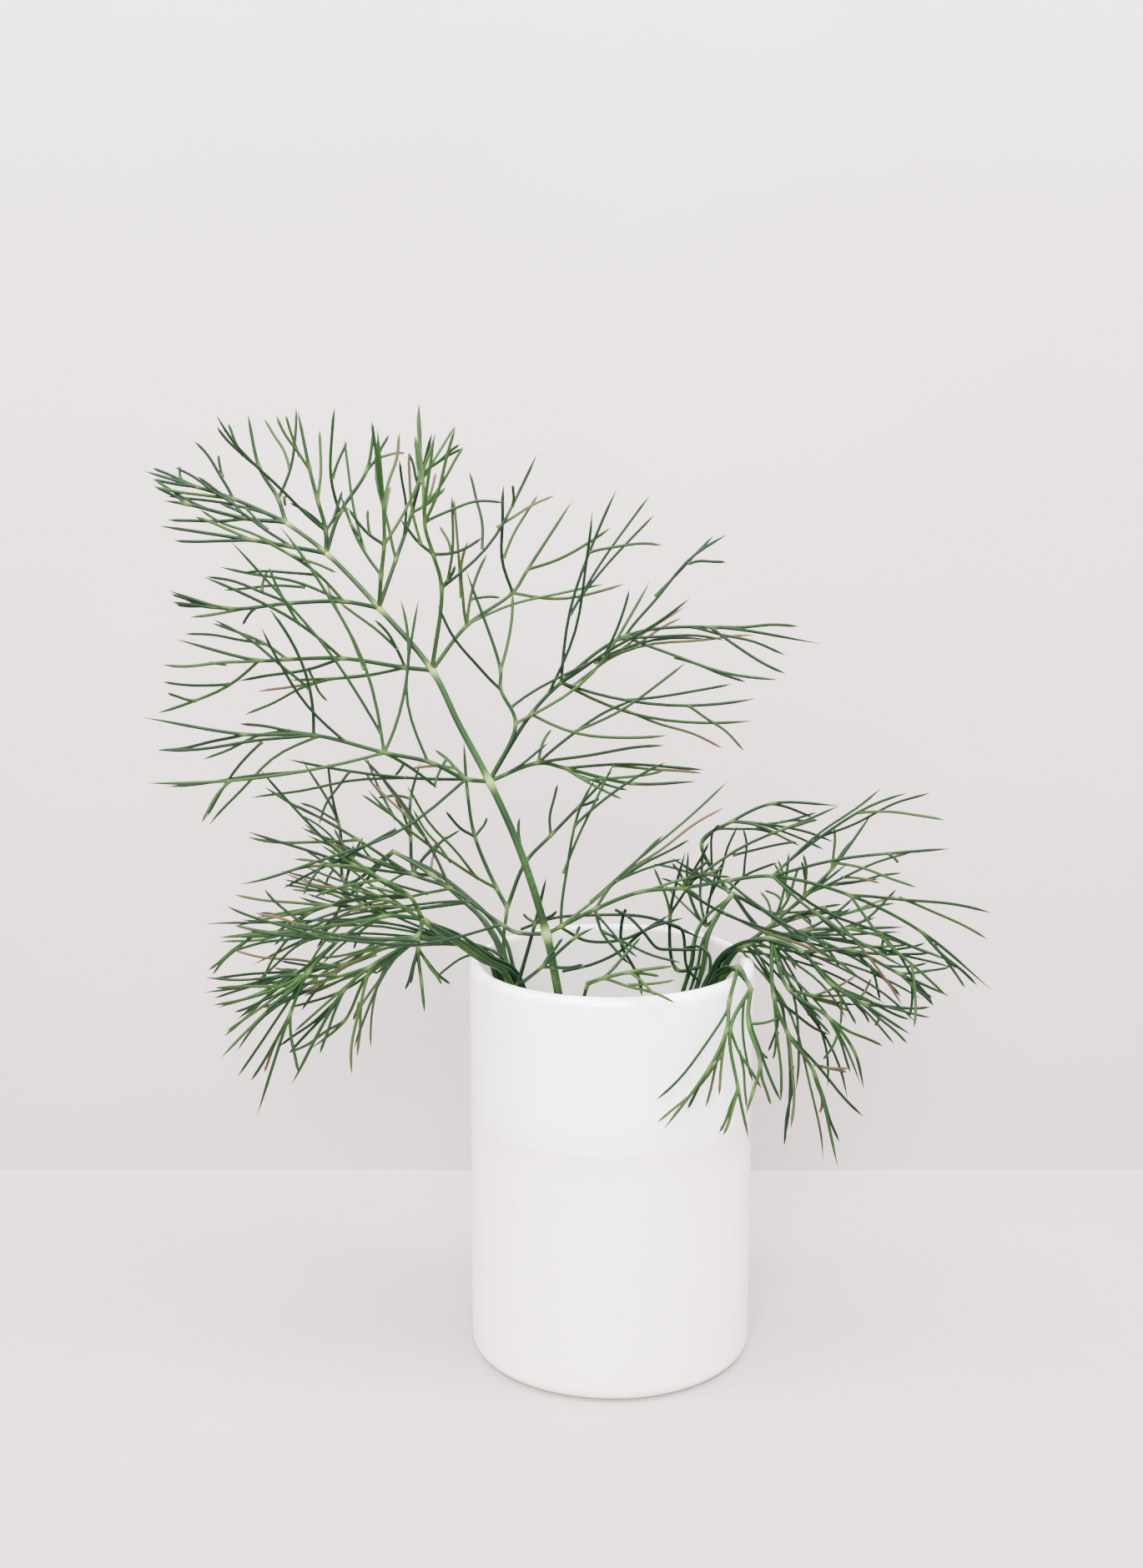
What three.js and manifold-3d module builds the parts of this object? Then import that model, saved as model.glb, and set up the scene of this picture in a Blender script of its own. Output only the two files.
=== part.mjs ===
// Feathery fennel fronds standing in a small two-tone ceramic vase.
// Units are millimetres, +Z is up, and the origin is the centre of the vase's foot, on the table.
// The vase is one fired piece. Each frond is a cut stem, and each leaf on it is a piece of its own:
// an axis with twigs at its joints, and each twig is one thread or a few that fork from each other.
import * as THREE from 'three';
import { mergeVertices } from 'three/addons/utils/BufferGeometryUtils.js';
import Module from 'manifold-3d';

const wasm = await Module();
wasm.setup();

// Vase
const vaseRadius = 40;
const vaseHeight = 115;
const wallThickness = 3.5;
const floorThickness = 8;
const footRadius = 36;
const footRound = 4;
const lipRound = 1.2;
const innerRound = 4;
const roundSteps = 3;
const vaseSides = 48;

// Strands
const gap = 0.3;
const stemSides = 6;
const threadSides = 3;
const axisRadii = [0.7, 0.4];
const axisSteps = 2;
const threadRadii = [0.45, 0.2];
const firstPlaces = [0, 0.34, 0.66, 1];
const forkPlaces = [0, 1];
const forkSpread = 0.14;
const rootShare = 0.2;
const leanStep = 0.08;
const leanTries = 11;
const vaseClearance = 1;
const degree = Math.PI / 180;

const colours = {
  vase: 0xedebeb,
  stem: 0x6f9a58,
  leaf: 0x3f7a45,
};

// Every frond: its stem from the cut end in the vase to its tip, and its leaves.
// A leaf's route starts on its stem's centre line, and its points after that are its joints.
// A twig is [joint, lean, end, end, ...]: the joint it grows from, how far it goes back for every
// millimetre, and the ends of its threads, each as [angle, length] from the joint, seen from the front.
// A frond's bow is how far its threads curve, as a share of their length: above 0 they set off wide of
// their parent and curve forward, and below 0 they set off along it and droop away.
const fronds = [
  {
    name: 'tall',
    radii: [1.6, 0.6],
    bow: 0.2,
    route: [
      [6, -22, 9], [-6, -29, 62], [-15, -30, 115], [-18, -31, 131], [-25, -31, 154], [-33, -29, 172],
      [-41, -27, 187], [-48, -25, 201], [-62, -21, 217], [-76, -17, 231], [-87, -14, 239],
    ],
    leaves: [
      {
        name: 'tip',
        route: [[-87, -14, 239], [-101, -12, 245], [-111, -10, 248], [-125, -8, 252]],
        twigs: [
          [1, 0.1, [124, 18], [109, 12]], [1, -0.3, [170, 20]], [2, 0.3, [159, 13], [132, 7]],
          [2, -0.3, [169, 11]],
        ],
      },
      {
        name: 'top_left',
        route: [[-87, -14, 239], [-97, -16, 240], [-112, -19, 244], [-118, -20, 245]],
        twigs: [
          [1, -0.2, [-180, 20]], [1, 0.3, [140, 17], [144, 23]], [2, 0.2, [154, 10]],
        ],
      },
      {
        name: 'top_up',
        route: [[-87, -14, 239], [-89, -12, 245], [-94, -10, 253], [-97, -8, 267]],
        twigs: [
          [1, 0.25, [79, 24], [102, 21]], [2, -0.3, [133, 15], [123, 14]],
        ],
      },
      {
        name: 'fifth_left',
        route: [[-76, -17, 231], [-85, -20, 233], [-95, -23, 235], [-118, -27, 239]],
        twigs: [
          [1, 0.3, [149, 22], [141, 16]], [2, -0.3, [179, 19]], [2, 0.3, [159, 16]],
        ],
      },
      {
        name: 'fifth_up',
        route: [[-76, -17, 231], [-76, -17, 237], [-78, -17, 245], [-80, -16, 253], [-83, -14, 268]],
        twigs: [
          [1, -0.35, [130, 40], [147, 12]], [1, 0.3, [68, 11], [43, 8]], [2, 0.3, [89, 18]],
          [3, -0.3, [119, 16]],
        ],
      },
      {
        name: 'fifth_right',
        route: [[-76, -17, 231], [-73, -10, 241], [-66, -6, 252], [-64, -3, 264]],
        twigs: [
          [1, -0.25, [90, 28], [82, 19]], [2, 0.3, [58, 11], [24, 11]],
        ],
      },
      {
        name: 'fourth_left',
        route: [[-62, -21, 217], [-71, -24, 219], [-85, -28, 219], [-100, -31, 218], [-115, -34, 223]],
        twigs: [
          [1, -0.3, [140, 27], [163, 27], [99, 8]], [1, 0.35, [167, 35], [178, 34]],
          [2, 0.25, [164, 23], [123, 10]], [2, -0.2, [-173, 25], [-155, 13]],
          [3, -0.2, [172, 14], [165, 15]],
        ],
      },
      {
        name: 'fourth_up',
        route: [[-62, -21, 217], [-61, -24, 226], [-60, -25, 234], [-60, -26, 245], [-61, -28, 264]],
        twigs: [
          [1, 0.3, [118, 23], [107, 36], [119, 10]], [2, 0.3, [65, 31], [59, 35], [50, 32]],
          [3, -0.2, [96, 21]], [3, 0.3, [77, 18]], [2, -0.3, [132, 13], [113, 10]],
        ],
      },
      {
        name: 'fourth_right',
        route: [[-62, -21, 217], [-58, -12, 229], [-54, -7, 241], [-52, -4, 251], [-52, -1, 269]],
        twigs: [
          [1, 0.2, [99, 32], [95, 19]], [2, -0.3, [74, 22], [92, 16]], [2, 0.3, [36, 11], [59, 12]],
          [3, 0.3, [98, 9]],
        ],
      },
      {
        name: 'third_left',
        route: [
          [-48, -25, 201], [-55, -27, 202], [-71, -31, 205], [-85, -33, 205], [-92, -35, 205],
          [-113, -38, 211],
        ],
        twigs: [
          [1, 0.35, [-171, 32], [-167, 43], [-162, 46]], [2, -0.3, [146, 40], [126, 30]],
          [2, 0.25, [-166, 29], [-110, 13]], [3, 0.3, [157, 22], [170, 29]],
          [4, -0.2, [-179, 24], [-178, 13]], [4, 0.25, [-152, 32], [-165, 28], [-160, 26]],
          [1, -0.2, [120, 15], [134, 24]],
        ],
      },
      {
        name: 'third_up',
        route: [[-48, -25, 201], [-45, -28, 223], [-47, -30, 232], [-49, -31, 240], [-46, -33, 263]],
        twigs: [
          [1, 0.3, [54, 42], [77, 30], [55, 32], [38, 37]], [1, -0.15, [59, 7], [83, 24]],
          [2, -0.3, [131, 12], [102, 27]], [2, 0.4, [17, 13], [78, 7]], [3, 0.25, [93, 30], [97, 22]],
          [3, -0.3, [71, 26], [62, 22]],
        ],
      },
      {
        name: 'third_right',
        route: [[-48, -25, 201], [-39, -18, 212], [-27, -12, 220], [-23, -9, 226], [-11, -4, 244]],
        twigs: [
          [1, 0.35, [74, 19], [37, 11]], [1, -0.25, [88, 23], [95, 34]], [2, 0.25, [3, 30]],
          [3, -0.3, [28, 25]], [2, -0.2, [94, 29], [75, 27]],
        ],
      },
      {
        name: 'second_up',
        route: [[-33, -29, 172], [-26, -26, 187], [-30, -25, 196], [-30, -24, 201], [-39, -21, 227]],
        twigs: [
          [3, 0.3, [81, 20]], [2, -0.3, [124, 28]], [1, 0.25, [46, 51], [32, 54], [21, 59], [17, 68]],
        ],
      },
      {
        name: 'second_right',
        route: [
          [-33, -29, 172], [-22, -23, 189], [-14, -20, 197], [3, -17, 209], [26, -14, 211],
          [56, -10, 206],
        ],
        twigs: [
          [1, -0.3, [-6, 36], [20, 43]], [2, 0.1, [74, 53], [64, 54], [54, 45]],
          [2, -0.35, [36, 41], [55, 31]], [2, -0.2, [-3, 51], [0, 45], [-18, 50]],
          [2, 0.3, [-14, 54], [-26, 50]], [3, 0.2, [44, 38], [47, 35], [36, 33]],
          [3, -0.3, [-14, 41], [-20, 34]], [4, 0.2, [-1, 24]], [4, -0.2, [-31, 23]],
        ],
      },
      {
        name: 'second_low',
        route: [[-33, -29, 172], [-20, -24, 176], [-13, -21, 174], [5, -17, 169], [23, -14, 169]],
        twigs: [
          [1, 0.2, [32, 30]], [1, -0.2, [10, 34]], [2, 0.3, [-4, 38], [-7, 38]],
          [2, -0.3, [-26, 17], [1, 27]], [1, 0.45, [68, 9]],
        ],
      },
      {
        name: 'second_left',
        route: [
          [-33, -29, 172], [-39, -31, 173], [-48, -34, 178], [-60, -36, 181], [-78, -38, 186],
          [-96, -37, 186], [-123, -34, 190],
        ],
        twigs: [
          [1, -0.25, [-157, 63], [-149, 57], [-147, 49]], [1, 0.3, [177, 49], [-170, 62], [-161, 42]],
          [1, 0.4, [140, 11], [175, 15], [-161, 9]], [3, 0.2, [114, 64], [111, 45]],
          [3, 0.35, [84, 39]], [3, -0.25, [-175, 59], [-172, 56], [-162, 47]],
          [3, 0.3, [-38, 17], [-69, 7]], [4, -0.2, [106, 35], [129, 39]],
          [4, -0.3, [-177, 38], [-143, 34]], [4, 0.25, [174, 20], [-164, 32]], [5, 0.2, [-168, 24]],
        ],
      },
      {
        name: 'low_left',
        route: [
          [-18, -31, 131], [-26, -30, 131], [-30, -29, 133], [-44, -25, 142], [-54, -22, 145],
          [-69, -19, 154], [-86, -15, 163],
        ],
        twigs: [
          [3, 0.3, [126, 42], [130, 34]], [3, -0.3, [-176, 17], [160, 32], [144, 60]],
          [4, 0.25, [160, 33], [165, 27]], [4, -0.2, [162, 45], [170, 23]],
          [2, -0.25, [175, 65], [176, 68], [170, 70]], [5, 0.3, [154, 29]], [5, -0.2, [176, 29]],
        ],
      },
      {
        name: 'low_right',
        route: [
          [-18, -31, 131], [-14, -31, 133], [-5, -32, 138], [7, -33, 143], [18, -33, 144],
          [30, -33, 146], [42, -32, 147], [63, -29, 141], [83, -26, 130], [103, -24, 113],
        ],
        twigs: [
          [1, 0.05, [77, 41], [72, 46], [59, 53]], [1, 0.3, [35, 29], [37, 57], [33, 41]],
          [2, 0.3, [45, 26], [25, 26]], [2, -0.2, [-57, 17], [-32, 27]],
          [4, 0.25, [25, 47], [17, 33], [26, 40]], [4, -0.2, [49, 11], [14, 13]],
          [4, 0.3, [-26, 41], [-31, 53]], [5, -0.25, [-29, 33], [-36, 44]],
          [6, 0.25, [29, 42], [23, 48], [17, 48]], [6, -0.2, [12, 46], [-4, 38], [11, 32]],
          [6, 0.3, [-30, 52], [-48, 59]], [6, -0.35, [-32, 40], [-40, 26]],
          [7, 0.2, [-10, 40], [-22, 43]], [7, -0.25, [-45, 36], [-52, 36], [-64, 36]],
          [8, 0.2, [-45, 23]], [8, -0.2, [-46, 13]],
        ],
      },
    ],
  },
  {
    name: 'left',
    radii: [1.1, 0.8],
    bow: -0.15,
    route: [
      [14, 8, 9], [-6, -4, 60], [-26, -16, 108], [-30, -20, 117.5], [-36, -24, 122], [-45, -28, 130],
      [-51, -31, 135],
    ],
    leaves: [
      {
        name: 'low',
        route: [
          [-51, -31, 135], [-61, -36, 137], [-72, -40, 132], [-80, -43, 124], [-85, -45, 113],
          [-94, -48, 86],
        ],
        twigs: [
          [1, 0.25, [-169, 46], [-176, 36]], [2, -0.2, [-136, 43], [-141, 39]], [2, 0.3, [-139, 39]],
          [3, 0.25, [-157, 29]], [3, -0.25, [-139, 15]], [4, 0.2, [-120, 23], [-114, 20]],
          [4, -0.25, [-81, 15]],
        ],
      },
      {
        name: 'up',
        route: [[-51, -31, 135], [-54, -34, 142], [-61, -36, 147], [-68, -37, 151], [-77, -38, 157]],
        twigs: [
          [1, 0.3, [-169, 22], [176, 35]], [1, -0.3, [164, 12]], [2, 0.25, [149, 25], [137, 18]],
          [3, -0.25, [-178, 18]], [2, -0.3, [-169, 18]],
        ],
      },
      {
        name: 'middle',
        route: [[-51, -31, 135], [-52, -38, 132], [-64, -42, 125], [-71, -44, 119], [-85, -47, 94]],
        twigs: [
          [1, 0.25, [-156, 35], [-149, 37]], [1, -0.3, [-140, 14]], [2, -0.2, [-100, 28], [-108, 15]],
          [2, 0.2, [-169, 43], [-153, 33]], [3, 0.3, [-129, 25]], [3, -0.25, [-111, 17]],
        ],
      },
      {
        name: 'short',
        route: [[-51, -31, 135], [-52, -35, 128], [-51, -38, 120], [-50, -41, 112]],
        twigs: [
          [1, -0.3, [-108, 11]], [1, 0.3, [-53, 14]],
        ],
      },
    ],
  },
  {
    name: 'low',
    radii: [1, 0.6],
    bow: -0.15,
    route: [
      [12, -4, 9], [-12, -4, 62], [-32, -3, 109], [-35, -4, 117], [-44, -4, 121], [-54, -6, 123],
      [-65, -8, 123], [-78, -10, 125],
    ],
    leaves: [
      {
        name: 'end',
        route: [[-78, -10, 125], [-93, -12, 126], [-108, -13, 125]],
        twigs: [
          [0, -0.2, [-173, 27], [-142, 25]], [1, -0.2, [165, 11], [-146, 21]], [0, 0.3, [149, 22]],
        ],
      },
      {
        name: 'middle',
        route: [[-65, -8, 123], [-74, -12, 117], [-86, -15, 116], [-97, -16, 110], [-109, -17, 106]],
        twigs: [
          [1, 0.3, [-169, 40], [-170, 21]], [1, -0.2, [-134, 17], [-150, 25]], [2, -0.3, [-141, 26]],
          [2, 0.2, [-165, 25]],
        ],
      },
      {
        name: 'hanging',
        route: [[-54, -6, 123], [-60, -2, 117], [-69, 1, 110], [-76, 3, 96], [-86, 5, 87]],
        twigs: [
          [1, -0.2, [-125, 22]], [1, 0.3, [-152, 32], [-135, 9]], [2, 0.25, [-154, 26]],
          [2, -0.3, [-97, 22]], [3, 0.2, [-147, 20]],
        ],
      },
      {
        name: 'over',
        route: [[-44, -4, 121], [-64, -2, 133], [-79, -1, 131], [-101, 0, 127]],
        twigs: [
          [1, 0.25, [172, 29], [153, 13]], [1, -0.2, [-164, 25], [-162, 9]], [2, -0.2, [-170, 26]],
          [2, 0.3, [178, 28]],
        ],
      },
    ],
  },
  {
    name: 'back_left',
    radii: [1, 0.6],
    bow: -0.15,
    route: [
      [4, 18, 9], [-14, 17, 62], [-30, 13, 108], [-32, 15, 115], [-36, 18, 121], [-42, 22, 126],
      [-52, 30, 132], [-64, 36, 138],
    ],
    leaves: [
      {
        name: 'low',
        route: [[-42, 22, 126], [-66, 28, 121], [-79, 33, 117], [-107, 36, 103]],
        twigs: [
          [1, 0.25, [155, 23], [140, 12]], [1, -0.25, [-143, 23], [-132, 14]], [2, 0.2, [-168, 39]],
          [2, -0.2, [-127, 22]], [1, 0.4, [175, 27]],
        ],
      },
      {
        name: 'up',
        route: [[-52, 30, 132], [-58, 36, 132], [-59, 38, 142], [-59, 40, 153], [-56, 42, 164]],
        twigs: [
          [1, 0.25, [40, 18], [49, 10]], [1, -0.3, [-154, 10]], [2, 0.2, [141, 19], [121, 26]],
          [2, -0.3, [108, 14]], [3, 0.3, [-178, 10]],
        ],
      },
      {
        name: 'end',
        route: [[-64, 36, 138], [-79, 42, 127], [-81, 44, 145], [-92, 47, 164]],
        twigs: [
          [1, 0.25, [144, 15], [-144, 9]], [1, -0.25, [68, 16]], [2, -0.2, [97, 19]],
          [2, 0.25, [156, 13]],
        ],
      },
      {
        name: 'side',
        route: [[-64, 36, 138], [-79, 38, 123], [-90, 40, 118], [-106, 42, 108]],
        twigs: [
          [1, 0.25, [156, 14], [173, 19]], [1, -0.25, [-112, 9], [-120, 17]], [2, 0.2, [-178, 15]],
          [2, -0.2, [-138, 14]],
        ],
      },
    ],
  },
  {
    name: 'middle',
    radii: [0.8, 0.5],
    bow: 0.2,
    route: [
      [2, -10, 9], [-13, -10, 62], [-27, -11, 111], [-30, -12, 122], [-29, -11, 133],
    ],
    leaves: [
      {
        name: 'left',
        route: [[-29, -11, 133], [-32, -9, 138], [-38, -6, 152], [-40, -4, 164], [-41, -2, 178]],
        twigs: [
          [1, -0.2, [137, 46], [135, 32]], [2, 0.3, [56, 6]], [2, -0.3, [135, 11]],
        ],
      },
      {
        name: 'right',
        route: [[-29, -11, 133], [-24, -8, 145], [-17, -5, 152], [-9, -3, 160], [0, 0, 169]],
        twigs: [
          [2, 0.25, [82, 14]], [1, 0.3, [98, 12]], [3, -0.3, [24, 6]],
        ],
      },
    ],
  },
  {
    name: 'short',
    radii: [0.7, 0.5],
    bow: 0.2,
    route: [
      [-10, -14, 9], [-20, -20, 60], [-25, -22, 108], [-26, -23, 114],
    ],
    leaves: [
      {
        name: 'up',
        route: [[-26, -23, 114], [-21, -27, 133], [-18, -29, 146]],
        twigs: [
          [1, 0.3, [146, 4]], [1, -0.3, [33, 7]],
        ],
      },
      {
        name: 'right',
        route: [[-26, -23, 114], [-19, -35, 123], [-10, -38, 132], [-5, -39, 135]],
        twigs: [
          [2, 0.3, [71, 3]], [1, 0.3, [53, 9]], [1, -0.3, [9, 11]],
        ],
      },
    ],
  },
  {
    name: 'right',
    radii: [1.1, 0.7],
    bow: -0.15,
    route: [
      [-10, 4, 9], [12, 4, 62], [31, 4, 108], [34, 3, 115], [38, 2, 119], [45, 0, 121], [54, -3, 118],
    ],
    leaves: [
      {
        name: 'end',
        route: [[54, -3, 118], [67, -5, 119], [80, -7, 113], [94, -9, 107]],
        twigs: [
          [1, 0.25, [-6, 23], [24, 10]], [1, -0.25, [-43, 19], [-60, 16]], [2, 0.2, [3, 10], [1, 15]],
          [2, -0.2, [-42, 13], [-76, 13]],
        ],
      },
      {
        name: 'low',
        route: [[54, -3, 118], [61, -7, 110], [70, -10, 105], [83, -13, 97]],
        twigs: [
          [1, 0.25, [-28, 27], [1, 12]], [1, -0.25, [-57, 13], [-76, 12]],
          [2, -0.2, [-41, 16], [-62, 7]], [2, 0.25, [-4, 19]],
        ],
      },
      {
        name: 'hanging',
        route: [[45, 0, 121], [49, -8, 109], [60, -13, 102], [67, -15, 93], [70, -16, 82]],
        twigs: [
          [1, 0.25, [-18, 21], [4, 20]], [1, -0.25, [-46, 17], [-52, 10]],
          [2, -0.2, [-68, 16], [-97, 12]], [2, 0.3, [-32, 19]],
        ],
      },
      {
        name: 'drooping',
        route: [[45, 0, 121], [45, -9, 107], [49, -12, 97], [56, -15, 87], [63, -18, 60]],
        twigs: [
          [1, -0.2, [-86, 29], [-90, 18]], [1, 0.25, [-38, 21]], [2, -0.3, [-89, 25], [-92, 31]],
          [2, 0.2, [-50, 35], [-35, 22]], [3, 0.2, [-70, 24], [-80, 14]],
        ],
      },
      {
        name: 'back',
        route: [[38, 2, 119], [46, 6, 124], [55, 10, 131], [63, 13, 138], [75, 17, 154]],
        twigs: [
          [1, 0.25, [77, 20], [105, 9]], [1, -0.25, [20, 20], [-3, 11]], [2, 0.3, [18, 35], [3, 23]],
          [3, -0.2, [90, 13]], [2, -0.25, [94, 13]],
        ],
      },
      {
        name: 'across',
        route: [[38, 2, 119], [55, 2, 123], [67, 0, 124], [82, -2, 125]],
        twigs: [
          [1, 0.25, [32, 16], [11, 27]], [1, -0.25, [-48, 14], [-24, 18]], [2, -0.2, [-14, 27]],
          [2, 0.25, [38, 17]],
        ],
      },
    ],
  },
  {
    name: 'front',
    radii: [0.8, 0.6],
    bow: -0.15,
    route: [
      [-6, -6, 9], [13, -9, 62], [28, -12, 106], [31, -16, 115], [34, -21, 118.5], [37, -28, 115],
    ],
    leaves: [
      {
        name: 'left',
        route: [[34, -21, 118.5], [31, -31, 112], [30, -37, 106], [25, -42, 97], [13, -45, 81]],
        twigs: [
          [2, -0.25, [-97, 17], [-127, 31]], [2, 0.1, [-103, 23]], [3, 0.15, [-114, 13]],
        ],
      },
      {
        name: 'middle',
        route: [[37, -28, 115], [31, -36, 106], [33, -40, 91], [36, -42, 77]],
        twigs: [
          [1, -0.25, [-123, 10]], [1, -0.1, [-62, 18], [-78, 23]], [2, -0.2, [-108, 13]],
        ],
      },
      {
        name: 'right',
        route: [[37, -28, 115], [36, -34, 107], [39, -38, 97], [37, -40, 90], [35, -42, 84]],
        twigs: [
          [1, -0.2, [-67, 22], [-61, 11]], [2, 0.15, [-75, 13]], [1, 0.2, [7, 8]],
        ],
      },
    ],
  },
  {
    name: 'back_right',
    radii: [1, 0.7],
    bow: -0.15,
    route: [
      [-8, 12, 9], [11, 16, 62], [27, 18, 108], [28, 20, 115], [31, 24, 121], [36, 28, 127],
    ],
    leaves: [
      {
        name: 'up',
        route: [[31, 24, 121], [28, 26, 118], [23, 29, 128], [23, 32, 139]],
        twigs: [
          [1, 0.25, [92, 22], [136, 18]], [1, -0.25, [77, 21], [74, 32]], [2, 0.25, [122, 9]],
          [2, -0.2, [69, 16]],
        ],
      },
      {
        name: 'tall',
        route: [
          [36, 28, 127], [35, 31, 127], [27, 34, 141], [36, 36, 147], [48, 38, 152], [68, 40, 151],
        ],
        twigs: [
          [3, 0.2, [-14, 32], [2, 26]], [3, -0.2, [-18, 21], [-14, 14]],
          [1, 0.3, [163, 23], [154, 15]], [2, -0.3, [50, 8]], [4, 0.2, [-21, 13]],
          [1, -0.25, [35, 17], [79, 20]],
        ],
      },
      {
        name: 'side',
        route: [[36, 28, 127], [50, 32, 120], [60, 35, 126], [71, 38, 134]],
        twigs: [
          [1, 0.25, [66, 15], [90, 15]], [1, -0.25, [3, 18], [-15, 10]], [2, 0.2, [51, 19]],
          [2, -0.2, [14, 20], [13, 27]],
        ],
      },
      {
        name: 'low',
        route: [[36, 28, 127], [45, 28, 116], [58, 27, 115], [72, 26, 113]],
        twigs: [
          [1, 0.25, [25, 14], [9, 22]], [1, -0.25, [-49, 15], [-29, 21]], [2, 0.2, [11, 21]],
          [2, -0.2, [-27, 21]],
        ],
      },
      {
        name: 'inner',
        route: [[27, 18, 108], [19, 14, 108], [17, 12, 125], [21, 10, 144]],
        twigs: [
          [1, 0.25, [124, 19], [118, 28]], [1, -0.25, [78, 15], [73, 30]], [2, 0.2, [110, 14]],
          [2, -0.3, [59, 13]], [1, 0.4, [136, 10]],
        ],
      },
    ],
  },
  {
    name: 'sprig',
    radii: [0.6, 0.5],
    bow: -0.1,
    route: [
      [-4, -25, 84], [-8, -31, 112], [-7, -34, 118],
    ],
    leaves: [
      {
        name: 'end',
        route: [[-7, -34, 118], [-3, -39, 121], [4, -40, 123], [16, -41, 125]],
        twigs: [
          [1, -0.1, [-18, 20], [-2, 19]], [1, 0.25, [46, 10], [44, 14]], [2, 0.1, [-10, 8]],
          [2, -0.2, [-42, 9]],
        ],
      },
    ],
  },
];

function toVectors(route) {
  return route.map((point) => new THREE.Vector3(...point));
}

// The centre line through a route's points, in short straight steps.
function smoothRoute(route, stepsPerSpan) {
  const curve = new THREE.CatmullRomCurve3(route, false, 'centripetal');
  return curve.getPoints((route.length - 1) * stepsPerSpan);
}

// Points along a thread that bows to one side of the straight line from its root to its end.
function bowedThread(root, end, parentTangent, places, bow) {
  const chord = end.clone().sub(root);
  const length = chord.length();
  const forward = chord.clone().divideScalar(length);
  const away = forward.clone().multiplyScalar(parentTangent.dot(forward)).sub(parentTangent);
  const control = root.clone().lerp(end, 0.5).addScaledVector(away, bow * length);
  const curve = new THREE.QuadraticBezierCurve3(root, control, end);
  return places.map((place) => curve.getPoint(place));
}

// The shortest distance between two straight stretches.
function stretchDistance(a, b, c, d) {
  const u = b.clone().sub(a);
  const v = d.clone().sub(c);
  const w = a.clone().sub(c);
  const uu = u.dot(u);
  const vv = v.dot(v);
  const uv = u.dot(v);
  const uw = u.dot(w);
  const vw = v.dot(w);
  const bottom = uu * vv - uv * uv;
  let s = bottom > 1e-9 ? THREE.MathUtils.clamp((uv * vw - vv * uw) / bottom, 0, 1) : 0;
  const t = THREE.MathUtils.clamp((uv * s + vw) / vv, 0, 1);
  s = THREE.MathUtils.clamp((uv * t - uw) / uu, 0, 1);
  return w.addScaledVector(u, s).addScaledVector(v, -t).length();
}

// Every stretch laid so far, with its owner, so that no piece grows through another.
const laid = [];

function layDown(points, radius, owner) {
  for (let i = 1; i < points.length; i += 1) {
    laid.push({ a: points[i - 1], b: points[i], radius, owner });
  }
}

function isFree(a, b, radius, owner) {
  for (const stretch of laid) {
    if (stretch.owner === owner) continue;
    const room = stretch.radius + radius + gap;
    if (stretchDistance(a, b, stretch.a, stretch.b) < room) return false;
  }
  return true;
}

function isOffVase(point) {
  const overWall = Math.hypot(point.x, point.y) < vaseRadius + vaseClearance;
  return !(overWall && point.z < vaseHeight + vaseClearance);
}

function threadFits(points, radius, owner) {
  for (let i = 1; i < points.length; i += 1) {
    const middle = points[i].clone().lerp(points[i - 1], 0.5);
    if (!isOffVase(points[i]) || !isOffVase(middle)) return false;
    if (!isFree(points[i - 1], points[i], radius, owner)) return false;
  }
  return true;
}

// A leaf's axis begins where it comes clear of its stem and of the leaves that share its joint.
function clearAxis(points, owner) {
  const steps = points.slice();
  while (steps.length > 3 && !isFree(steps[0], steps[1], axisRadii[0], owner)) {
    const cut = steps[0].clone().lerp(steps[1], 0.25);
    if (cut.distanceTo(steps[1]) < 0.6) steps.shift();
    else steps[0] = cut;
  }
  return steps;
}

// Tries a thread, then leans it a little further back or forward each time until it is clear.
function growThread(root, joint, end, lean, parentTangent, places, bow, owner) {
  const [angle, length] = end;
  for (let turn = 0; turn < leanTries; turn += 1) {
    const nudge = Math.ceil(turn / 2) * leanStep * (turn % 2 === 0 ? 1 : -1);
    const tip = new THREE.Vector3(Math.cos(angle * degree), lean + nudge, Math.sin(angle * degree));
    tip.multiplyScalar(length).add(joint);
    const points = bowedThread(root, tip, parentTangent, places, bow);
    const tested = [points[0].clone().lerp(points[1], rootShare), ...points.slice(1)];
    if (threadFits(tested, threadRadii[0], owner)) return points;
  }
  return null;
}

// The threads of one leaf: each twig's first thread, and the ones that fork from it.
function growLeaf(leaf, bow, owner) {
  const threads = [];
  const smooth = smoothRoute(toVectors(leaf.route), axisSteps);
  for (const [jointNumber, lean, firstEnd, ...forkEnds] of leaf.twigs) {
    const place = jointNumber * axisSteps;
    const joint = smooth[place];
    const root = jointNumber === 0 ? leaf.axis[0] : joint;
    const tangent = smooth[place + 1].clone().sub(joint).normalize();
    const first = growThread(root, joint, firstEnd, lean, tangent, firstPlaces, bow, owner);
    if (!first) continue;
    threads.push(first);
    const forkRoots = [first[1], first[2], first[1].clone().lerp(first[2], 0.5)];
    const forkTangent = first[2].clone().sub(first[1]).normalize();
    forkEnds.forEach((end, k) => {
      const forkLean = lean + (k % 2 === 0 ? forkSpread : -forkSpread);
      const fork = growThread(forkRoots[k], joint, end, forkLean, forkTangent, forkPlaces, 0, owner);
      if (fork) threads.push(fork);
    });
  }
  return threads;
}

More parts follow.
